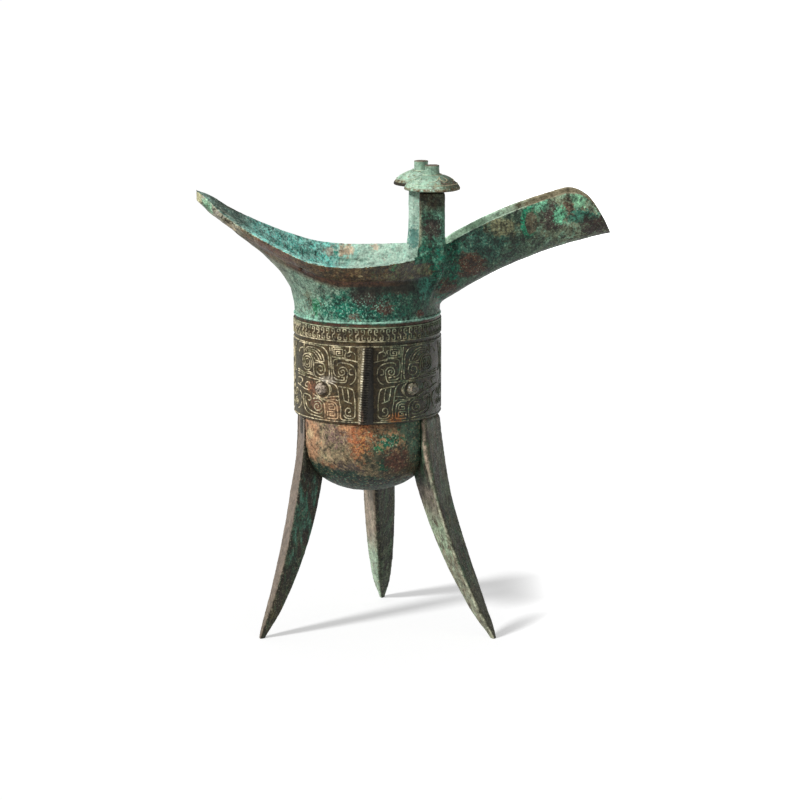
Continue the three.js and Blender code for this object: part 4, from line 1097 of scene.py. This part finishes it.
half_mask = [
    # outer horn: its edge, the seam beside it and the short lines at its root
    flowing([(36.7, 32.9), (28.8, 33.0), (22.6, 32.9), (19.2, 32.0), (17.4, 29.6), (16.8, 26.0),
             (16.6, 20.6), (17.3, 18.9)]),
    flowing([(16.4, 33.0), (15.9, 29.0), (15.7, 24.5), (15.3, 20.2)]),
    straight([(31.9, 32.6), (31.9, 28.9)]),
    flowing([(36.6, 28.6), (35.4, 30.2), (32.6, 31.0)]),
    # its feathers, one inside the other
    flowing([(29.9, 29.4), (30.6, 30.6), (28.8, 31.6), (24.4, 31.7), (21.3, 30.4), (19.8, 28.5),
             (19.2, 26.4)]),
    flowing([(29.4, 30.7), (25.0, 30.8), (22.2, 29.3), (20.7, 27.0)]),
    flowing([(28.9, 29.9), (25.4, 29.9), (23.4, 28.5), (22.1, 26.9)]),
    flowing([(29.3, 29.2), (25.9, 28.5), (24.2, 26.6), (21.7, 26.2), (19.4, 26.3)]),
    # its curl
    flowing([(24.9, 25.4), (25.3, 23.2), (24.9, 20.6), (23.4, 19.2), (19.2, 18.9)]),
    flowing([(24.5, 25.3), (20.0, 25.5), (18.8, 23.4), (19.3, 21.2), (21.5, 20.4), (23.4, 21.7),
             (23.0, 23.6), (21.2, 24.3), (20.1, 23.3), (20.7, 22.1), (21.7, 22.4)]),
    # the round of rings, and the waves under it
    curl(29.6, 24.8, 4.2, 3.3, 200, -1, 0.25),
    flowing([(38.2, 20.9), (33.6, 20.4), (31.2, 20.0), (28.6, 20.9), (25.4, 20.4)]),
    flowing([(37.9, 20.0), (33.4, 19.6), (31.0, 19.3), (28.4, 20.1), (25.2, 19.7)]),
    # top by the flange: a square spiral in its frame and a hook under a stem
    straight([(10.0, 33.0), (15.2, 33.0), (15.2, 28.8), (9.6, 28.7)]),
    straight([(14.3, 29.6), (14.3, 32.2), (10.3, 32.2), (10.3, 29.6), (13.2, 29.6), (13.2, 31.3),
              (11.5, 31.3), (11.5, 30.5), (12.4, 30.5)]),
    flowing([(7.1, 33.4), (7.1, 31.6), (5.8, 31.2), (4.8, 30.2), (4.7, 27.6)]),
    flowing([(7.1, 31.5), (8.1, 30.7), (8.2, 29.7), (7.3, 29.5), (6.8, 30.2)]),
    flowing([(9.6, 32.1), (8.7, 31.4), (9.3, 29.6), (9.0, 27.9), (7.6, 27.5)]),
    # C-shaped horn, its hook and its spiral
    flowing([(3.0, 26.9), (7.0, 27.8), (10.0, 28.3), (13.1, 28.0), (14.5, 27.0), (14.8, 24.3), (14.4, 21.9),
             (13.2, 20.6), (11.6, 20.3)]),
    flowing([(12.9, 24.9), (12.4, 26.1), (10.2, 26.5), (7.2, 26.0), (5.2, 24.6), (4.5, 22.4), (4.7, 20.0),
             (5.7, 18.2), (7.1, 17.3)]),
    flowing([(6.2, 24.0), (7.2, 23.6), (7.4, 22.6), (7.1, 21.6), (5.6, 21.5)]),
    flowing([(15.2, 20.2), (15.0, 18.3), (11.6, 18.0), (9.2, 18.2), (8.4, 20.4), (8.2, 22.9), (9.3, 24.4),
             (11.0, 24.5), (12.1, 23.3), (12.0, 21.7), (10.8, 21.0), (9.5, 21.9), (9.6, 23.1), (10.6, 23.4),
             (11.1, 22.8), (10.6, 22.2)]),
    straight([(14.4, 20.0), (12.9, 19.0), (9.7, 19.0), (9.7, 20.2), (10.9, 20.2)]),
    flowing([(38.3, 18.9), (30.0, 18.6), (24.0, 18.2), (16.0, 18.2), (13.6, 18.1)]),
    # eye: its ring, its lids and its inner corner
    curl(20.3, 14.2, 3.9, 1.0, 0, 1, 0.0, 0.98),
    flowing([(24.0, 16.8), (20.4, 17.8), (17.1, 17.7), (14.1, 16.8), (12.7, 15.1), (12.2, 12.2),
             (11.8, 9.0)]),
    flowing([(16.6, 16.6), (15.7, 14.6), (16.6, 12.2)]),
    flowing([(27.5, 12.6), (24.0, 11.0), (20.0, 10.3), (15.8, 11.4), (12.4, 11.9)]),
    flowing([(25.4, 9.9), (22.5, 10.2), (18.5, 9.7), (14.1, 10.3), (12.4, 9.8)]),
    # ear
    flowing([(37.9, 17.1), (34.4, 17.4), (33.6, 16.0), (35.8, 14.6)]),
    flowing([(38.8, 14.4), (35.0, 13.9), (31.2, 13.0), (27.9, 13.1), (27.4, 14.9), (28.6, 16.3),
             (30.7, 15.7), (30.9, 14.4), (29.5, 14.2)]),
    # nose with its comb and curl
    flowing([(12.4, 16.2), (8.8, 15.8), (6.0, 15.0), (5.2, 12.0), (4.9, 9.0), (4.9, 6.1), (5.1, 3.4),
             (6.3, 2.6), (8.8, 2.7), (10.0, 4.0)]),
    straight([(10.6, 15.6), (10.1, 12.3), (9.6, 10.0)]),
    straight([(8.2, 15.4), (7.7, 12.4), (7.7, 9.8)]),
    straight([(9.9, 10.3), (8.1, 9.6), (6.5, 9.1)]),
    flowing([(6.6, 3.6), (8.6, 3.7), (9.2, 5.2), (8.7, 6.8), (7.2, 6.8), (6.9, 5.6), (7.9, 5.0)]),
    flowing([(11.8, 9.0), (11.2, 6.4), (11.4, 3.4), (10.5, 1.8), (6.0, 1.8)]),
    # square maze and the jaw's spiral
    flowing([(18.0, 9.2), (15.8, 9.5), (13.4, 8.4), (12.8, 5.7), (13.0, 2.2), (17.8, 2.0)]),
    straight([(17.2, 8.0), (15.1, 8.4), (14.0, 7.4), (14.0, 5.9), (16.8, 5.9), (16.8, 7.0), (15.2, 7.2)]),
    straight([(17.6, 3.0), (17.6, 4.9), (14.0, 4.9), (14.0, 3.2), (16.4, 3.2), (16.4, 4.0), (15.2, 4.0)]),
    flowing([(29.1, 8.5), (27.4, 8.5), (27.2, 9.9), (29.0, 10.8), (32.4, 10.5), (32.3, 6.5), (30.9, 3.9),
             (27.7, 2.6), (23.4, 2.2), (20.0, 1.8)]),
    flowing([(31.0, 9.7), (30.6, 6.7), (28.7, 4.7), (24.6, 3.5), (21.3, 3.4), (20.6, 4.5)]),
    flowing([(25.8, 9.4), (22.4, 9.8), (19.6, 8.4), (18.9, 5.1), (19.0, 2.1)]),
    flowing([(25.0, 8.1), (22.4, 8.7), (20.7, 7.1), (21.6, 5.1), (24.0, 4.8), (25.0, 6.5), (23.5, 7.5),
             (22.4, 6.5), (23.2, 5.9)]),
    # side of the cup, where two masks meet
    flowing([(36.6, 11.6), (34.6, 10.6), (34.2, 7.6), (35.6, 4.8), (38.4, 3.4)]),
    flowing([(39.8, 32.6), (41.4, 28.2), (42.6, 22.0), (40.6, 19.6)]),
    flowing([(43.0, 32.4), (43.9, 26.0), (44.2, 19.4), (42.6, 12.0), (43.2, 4.6)]),
    curl(46.6, 27.2, 2.3, 1.9, 250, 1, 0.5),
    curl(46.6, 19.6, 2.3, 1.9, 90, -1, 0.5),
    curl(39.6, 10.6, 2.0, 1.6, 300, 1),
    curl(46.4, 11.4, 2.3, 1.9, 250, 1, 0.5),
    curl(39.6, 6.4, 1.8, 1.8, 100, -1),
    flowing([(44.4, 5.2), (46.2, 6.4), (48.4, 5.0), (47.2, 3.0), (44.8, 2.8)]),
    straight([(QUARTER - 0.9, 32.6), (QUARTER - 0.9, 2.0)]),
]


def mirrored(lines):
    """The same lines on the flange's other side."""
    return [[(-along, up) for along, up in line] for line in lines]


def moved(lines, distance):
    """The same lines farther round the band."""
    return [[(along + distance, up) for along, up in line] for line in lines]


front_mask = relief("front_mask", half_mask + mirrored(half_mask), on_band, LINE_RADIUS)
finished(front_mask, relief_lines)
back_mask = relief("back_mask", moved(half_mask + mirrored(half_mask), 2 * QUARTER), on_band, LINE_RADIUS)
finished(back_mask, relief_lines)

HOOKS = 76
pitch = 4 * QUARTER / HOOKS
half_hook = [(-0.45, 38.9), (-0.5, 40.6), (-0.3, 40.95), (0.75, 40.95), (0.85, 40.0), (0.25, 39.85)]
other_half = [(-along, 77.4 - up) for along, up in half_hook]
hook = straight(other_half[::-1] + half_hook, 0.35)
hooks = []
for i in range(HOOKS):
    side = 1 if i < HOOKS // 2 else -1
    hooks.append([(side * along + (i + 0.5) * pitch, up) for along, up in hook])
round_places = range(int(4 * QUARTER) + 2)
rounds = [[(i, up) for i in round_places] for up in (STRIP_TOP, STRIP_FOOT, MASK_TOP, MASK_FOOT)]
hook_strip = relief("hook_strip", hooks + rounds, on_band, LINE_RADIUS)
finished(hook_strip, relief_lines)

# Flange down the middle of the front mask: a ridge of small teeth
FLANGE_TEETH = 31
FLANGE_LEAN = math.radians(3.4)
low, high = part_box("front_flange")
tooth_height = (high.z - low.z) / FLANGE_TEETH
flange = started("flange", bpy.ops.mesh.primitive_cube_add, size=1)
edit(flange)
bpy.ops.transform.resize(value=(6.7 * MM, 1.2 * MM, tooth_height))
root_y = AXIS.y - (GROUND_RADIUS - 0.9) * MM
bpy.ops.transform.translate(value=(AXIS.x - 0.45 * MM, root_y - 0.6 * MM, low.z + tooth_height / 2))
bpy.ops.mesh.select_all(action="DESELECT")
done(flange)
for face in flange.data.polygons:
    face.select = face.normal.y < -0.5
bpy.ops.object.mode_set(mode="EDIT")
bpy.ops.mesh.select_mode(type="FACE")
bpy.ops.mesh.extrude_region_move(TRANSFORM_OT_translate={"value": (-0.05 * MM, -2.5 * MM, 0)})
bpy.ops.transform.resize(value=(0.5, 1, 0.8))
bpy.ops.mesh.extrude_region_move(TRANSFORM_OT_translate={"value": (0, -0.4 * MM, 0)})
bpy.ops.transform.resize(value=(0.86, 1, 0.5))
done(flange)
modify(flange, "ARRAY", count=FLANGE_TEETH, use_relative_offset=False, use_constant_offset=True,
       constant_offset_displace=(0, 0, tooth_height), use_merge_vertices=True, merge_threshold=0.01 * MM)
picked(flange, lambda at: at.y < -GROUND_RADIUS - 1)
bpy.ops.transform.rotate(
    value=-FLANGE_LEAN, orient_axis="Y", center_override=(AXIS.x, root_y, (low.z + high.z) / 2)
)
done(flange)
recast(flange, 0.13, passes=1)
weather(flange, 2.4, 0.12, 1)
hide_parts("front_flange")
finished(flange, flange_material())


def eye(name, node):
    """A round boss with a small pit, on the band."""
    low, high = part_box(node)
    centre = (low + high) / 2
    outward_way = Vector((centre.x - AXIS.x, centre.y - AXIS.y, 0)).normalized()
    piece = started(name, bpy.ops.mesh.primitive_uv_sphere_add, segments=40, ring_count=20, radius=2.75 * MM)
    edit(piece)
    bpy.ops.mesh.select_all(action="DESELECT")
    done(piece)
    for corner in piece.data.vertices:
        corner.select = corner.co.z > 2.55 * MM
    bpy.ops.object.mode_set(mode="EDIT")
    bpy.ops.mesh.select_mode(type="VERT")
    bpy.ops.transform.translate(value=(0, 0, -0.55 * MM))
    bpy.ops.mesh.select_all(action="SELECT")
    bpy.ops.transform.resize(value=(1.05, 1.0, 1.05))
    done(piece)
    turn = outward_way.to_track_quat("Z", "Y").to_matrix().to_4x4()
    seat = outward_way * (GROUND_RADIUS - 0.3) * MM + Vector((AXIS.x, AXIS.y, centre.z))
    piece.data.transform(Matrix.Translation(seat) @ turn)
    weather(piece, 1.6, 0.14, 1)
    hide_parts(node)
    return finished(piece, eye_metal)


eye_metal = eye_material()
for corner in ("front_left", "front_right", "back_left", "back_right"):
    eye("mask_eye_" + corner, "eye_" + corner)

# Legs

# Each leg's way from the cup in degrees, how far its blade bulges, and how far its root is pressed in
for name, facing, bulge, top in (
    ("leg_front_left", 194.5, 0.1, 1.2),
    ("leg_front_right", -27, 0.25, -1.3),
    ("leg_back", 81.5, 0.9, 0),
):
    leg = cast_copy(name + "_blade", name)
    swell(leg, 0.2)
    recast(leg, 0.4, passes=4)
    way = np.array((math.cos(math.radians(facing)), math.sin(math.radians(facing)), 0))
    # The blade's width down its length, its seat at the cup, and its pointed tip
    heights, widths = (0, 8, 20, 34, 50, 70, 90), (0, 0.8, 1, 0.8, 0.6, 0.4, 0)
    press(leg, lambda at: np.interp(at[:, 2], heights, widths), -bulge)
    if top:
        press(leg, lambda at: between(at @ way, 29.4, 30.8) * between(at[:, 2], 62, 84), top)
    foot = np.array([corner.co for corner in leg.data.vertices if corner.co.z < 0.8 * MM]).mean(axis=0)
    picked(leg, lambda at: at.z < 0.8)
    bpy.ops.transform.resize(
        value=(0.72, 0.72, 1),
        center_override=(foot[0] + way[0] * MM, foot[1] + way[1] * MM, 0),
        use_proportional_edit=True,
        proportional_size=13 * MM,
        proportional_edit_falloff="SHARP",
    )
    done(leg)
    weather(leg, 7, 0.4, 1)
    weather(leg, 1.6, 0.12, 2)
    stand(leg)
    mark(leg, "outer", lambda at, n: (n @ way - 0.45) * 4)
    if name == "leg_back":
        mark(leg, "rim", lambda at, n: (1 - np.abs(n[:, 0] - 0.1) * 2.4) * (n[:, 1] < 0))
    else:
        mark(leg, "rim", lambda at, n: 1 - np.abs(n @ way - 0.28) * 2.0)
    mark(leg, "left_side", lambda at, n: (-n[:, 0] - 0.1) * 4 * (n @ way < 0.2))
    finished(leg, leg_material(name.split("_")[-1]))

# Posts, caps and finials

CAP_RADIUS = 12.2
CAP_HEIGHT = 7.7
CAP_RIM = 1.15
dome = [(CAP_RADIUS - 0.05, CAP_RIM + 0.55)]
for i in range(1, 15):
    t = i / 14
    first, second, third = (1 - t) ** 2, 2 * t * (1 - t), t * t
    radius = first * CAP_RADIUS + second * CAP_RADIUS * 0.76 + third * 3.3
    dome.append((radius, first * (CAP_RIM + 0.75) + second * CAP_HEIGHT * 0.82 + third * CAP_HEIGHT))
cap_patina_and_painted_shade = cap_material()
for name in ("post_front", "post_back"):
    cap_x, cap_y, _ = middle_of(name + "_cap")
    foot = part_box(name + "_cap")[0].z / MM
    outline = [(0.01, foot + 1.2), (8.2, foot + 1.2), (10.6, foot + CAP_RIM - 0.15), (11.9, foot + CAP_RIM)]
    outline += [(r, foot + h) for r, h in dome] + [(0.01, foot + CAP_HEIGHT)]
    cap = turned(name + "_umbrella", outline, 96, (cap_x, cap_y))
    modify(cap, "SUBSURF", levels=1, render_levels=1)
    weather(cap, 5, 0.3, 1)

    def on_cap(along, radius):
        angle = along / 7
        height = np.interp(radius, [r for r, _ in dome[::-1]], [h for _, h in dome[::-1]])
        return place(cap_x + radius * math.cos(angle), cap_y + radius * math.sin(angle), foot + height)

    whorls = [[(i * 0.5, r) for i in range(89)] for r in (10.7, 4.0)]
    for k in range(4):
        middle = (math.radians(-50) + k * math.pi / 2) * 7
        whorls.append(curl(middle, 7.5, 2.0, 0.9, 250, -1, 0, 0.45))
        whorls.append(flowing([(middle - 1.9, 6.4), (middle - 3.6, 8.6), (middle - 6.2, 9.2)]))
    lines = relief(name + "_whorls", whorls, on_cap, 0.24)
    mark(lines, "whorl", lambda at, n: np.ones(len(at)))
    alone(cap)
    lines.select_set(True)
    bpy.ops.object.join()
    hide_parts(name + "_cap")
    finished(cap, cap_patina_and_painted_shade)

    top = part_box(name + "_finial")[1].z / MM
    base = foot + CAP_HEIGHT - 0.4
    knob = turned(
        name + "_knob",
        [(0.01, base), (3.5, base), (3.25, base + 0.4), (3.05, base + 1.1), (3.0, top - 1.5),
         (3.08, top - 0.7), (3.1, top - 0.35), (2.95, top - 0.12), (2.4, top - 0.12), (0.01, top - 0.2)],
        48,
        (cap_x, cap_y),
    )
    modify(knob, "SUBSURF", levels=1, render_levels=1)
    weather(knob, 3, 0.2, 2)
    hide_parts(name + "_finial")
    finished(knob, cap_patina_and_painted_shade)

# Handle with its ox head

handle_patina = handle_material()
strap = cast_copy("handle_strap", "handle_loop")
swell(strap, 0.25)
recast(strap, 0.4, passes=4)
weather(strap, 4, 0.3, 1)
finished(strap, handle_patina)
head = cast_copy("ox_head", "handle_head")
swell(head, -0.45)
recast(head, 0.36, passes=6)
weather(head, 4, 0.2, 2)
finished(head, handle_patina)


def laid_on(piece, middle, up_way, facing):
    """Gives places on a piece by how far they are along the X axis and up from a middle outside it."""

    def surface(along, up, proud=0.0):
        start = place(*middle) + (Vector((along, 0, 0)) + Vector(up_way) * up + Vector(facing) * 2) * MM
        _, at, _, _ = piece.closest_point_on_mesh(start)
        return at + Vector(facing) * proud * MM

    return surface


bpy.context.view_layer.update()
on_brow = laid_on(head, (0, 46.5, 137), (0, -0.81, 0.59), (0, 0.59, 0.81))
on_muzzle = laid_on(head, (0, 52, 129), (0, 0, 1), (0, 1, 0))
on_strap = laid_on(strap, (0, 51, 112), (0, 0, 1), (0, 1, 0))
brow_lines = [straight([(0, 4.6), (0, -4.2)])]
for side in (-1, 1):
    brow_lines.append(flowing([(side * 2.3, 4.4), (side * 0.6, 2.4), (side * 0.5, -4)]))
    brow_lines.append(curl(side * 4.3, 1.4, 1.7, 1.0, 90, side, 0, 0.95))
    brow_lines.append(curl(side * 2.1, -1.6, 1.0, 1.6, 90, side))
brow = relief("ox_brow", brow_lines, on_brow, 0.4)
muzzle_lines = [curl(side * 1.5, 2.6, 0.9, 1.2, 90, side) for side in (-1, 1)]
muzzle_lines.append(flowing([(-2.2, -1.2), (0, -0.5), (2.2, -1.2)]))
muzzle = relief("ox_muzzle", muzzle_lines, on_muzzle, 0.34)
strap_lines = [straight([(side * 3.2, -7.6), (side * 3.2, 9.6)]) for side in (-1, 1)]
strap_lines += [curl(0, up, 1.9, 1.7, 90, 1, 0.5) for up in (-5.2, 0, 5.2)]
straps = relief("strap_lines", strap_lines, on_strap, 0.36)
for piece in (brow, muzzle, straps):
    finished(piece, relief_lines)
for side in (-1, 1):
    name = "ox_eye_left" if side < 0 else "ox_eye_right"
    ox_eye = started(name, bpy.ops.mesh.primitive_uv_sphere_add, segments=24, ring_count=12, radius=1.1 * MM)
    ox_eye.data.transform(Matrix.Translation(on_brow(side * 4.3, 1.4, -0.2)))
    finished(ox_eye, eye_metal)
for side in ("left", "right"):
    horn = cast_copy("ox_horn_" + side, "handle_horn_" + side)
    swell(horn, 0.2)
    recast(horn, 0.26, passes=3)
    weather(horn, 2, 0.2, 1)
    finished(horn, handle_patina)

# Floor, light and camera

# The floor's paper turns white between these distances from the cup's axis, on the spout's side
FADE_START = AXIS.x + 58 * MM
FADE_END = AXIS.x + 122 * MM
GREY = (0.5, 0.5, 0.5, 1)
PALE = (0.93, 0.93, 0.93, 1)

floor = started("floor", bpy.ops.mesh.primitive_plane_add, size=40)
paper = bpy.data.materials.new("floor_paper")
sheet = Nodes(paper)
seen = sheet.node("ShaderNodeLightPath", out="Is Camera Ray")
seen = seen.at_least(sheet.node("ShaderNodeLightPath", out="Is Glossy Ray"))
plain = sheet.node("ShaderNodeBsdfDiffuse", None, {"Color": sheet.mix(seen, GREY, PALE)})
along = sheet.node("ShaderNodeSeparateXYZ", None, {0: sheet.place()}, "X")
white = sheet.node("ShaderNodeEmission", None, {"Strength": 2.0})
share = seen * along.step(FADE_START, FADE_END, 0.2, 0.95)
surface = sheet.node("ShaderNodeMixShader", None, {0: share, 1: plain, 2: white})
sheet.node("ShaderNodeOutputMaterial", None, {"Surface": surface})
floor.data.materials.append(paper)

scene = bpy.context.scene
scene.view_settings.view_transform = "Standard"
world = bpy.data.worlds.new("studio")
scene.world = world
sky = Nodes(world)
seen = sky.node("ShaderNodeLightPath", out="Is Camera Ray")
soft = sky.node("ShaderNodeBackground", None, {"Strength": 0.4})
clear = sky.node("ShaderNodeBackground", None, {"Strength": 1.0})
surface = sky.node("ShaderNodeMixShader", None, {0: seen, 1: soft, 2: clear})
sky.node("ShaderNodeOutputWorld", None, {"Surface": surface})

key = bpy.data.lights.new("key", "SUN")
key.energy = 2.75
key.angle = math.radians(9)
key_light = bpy.data.objects.new("key", key)
scene.collection.objects.link(key_light)
key_light.rotation_euler = Vector((-0.66, -0.5, 0.62)).to_track_quat("Z", "Y").to_euler()

camera = bpy.data.cameras.new("camera")
camera.lens = VIEW_LENS
camera.sensor_width = 36
camera.clip_end = 100
viewer = bpy.data.objects.new("camera", camera)
scene.collection.objects.link(viewer)
tilt = math.radians(VIEW_ELEVATION)
viewer.location = place(
    VIEW_CENTRE[0], -VIEW_DISTANCE * math.cos(tilt), VIEW_CENTRE[2] + VIEW_DISTANCE * math.sin(tilt)
)
viewer.rotation_euler = (math.pi / 2 - tilt, 0, 0)
scene.camera = viewer
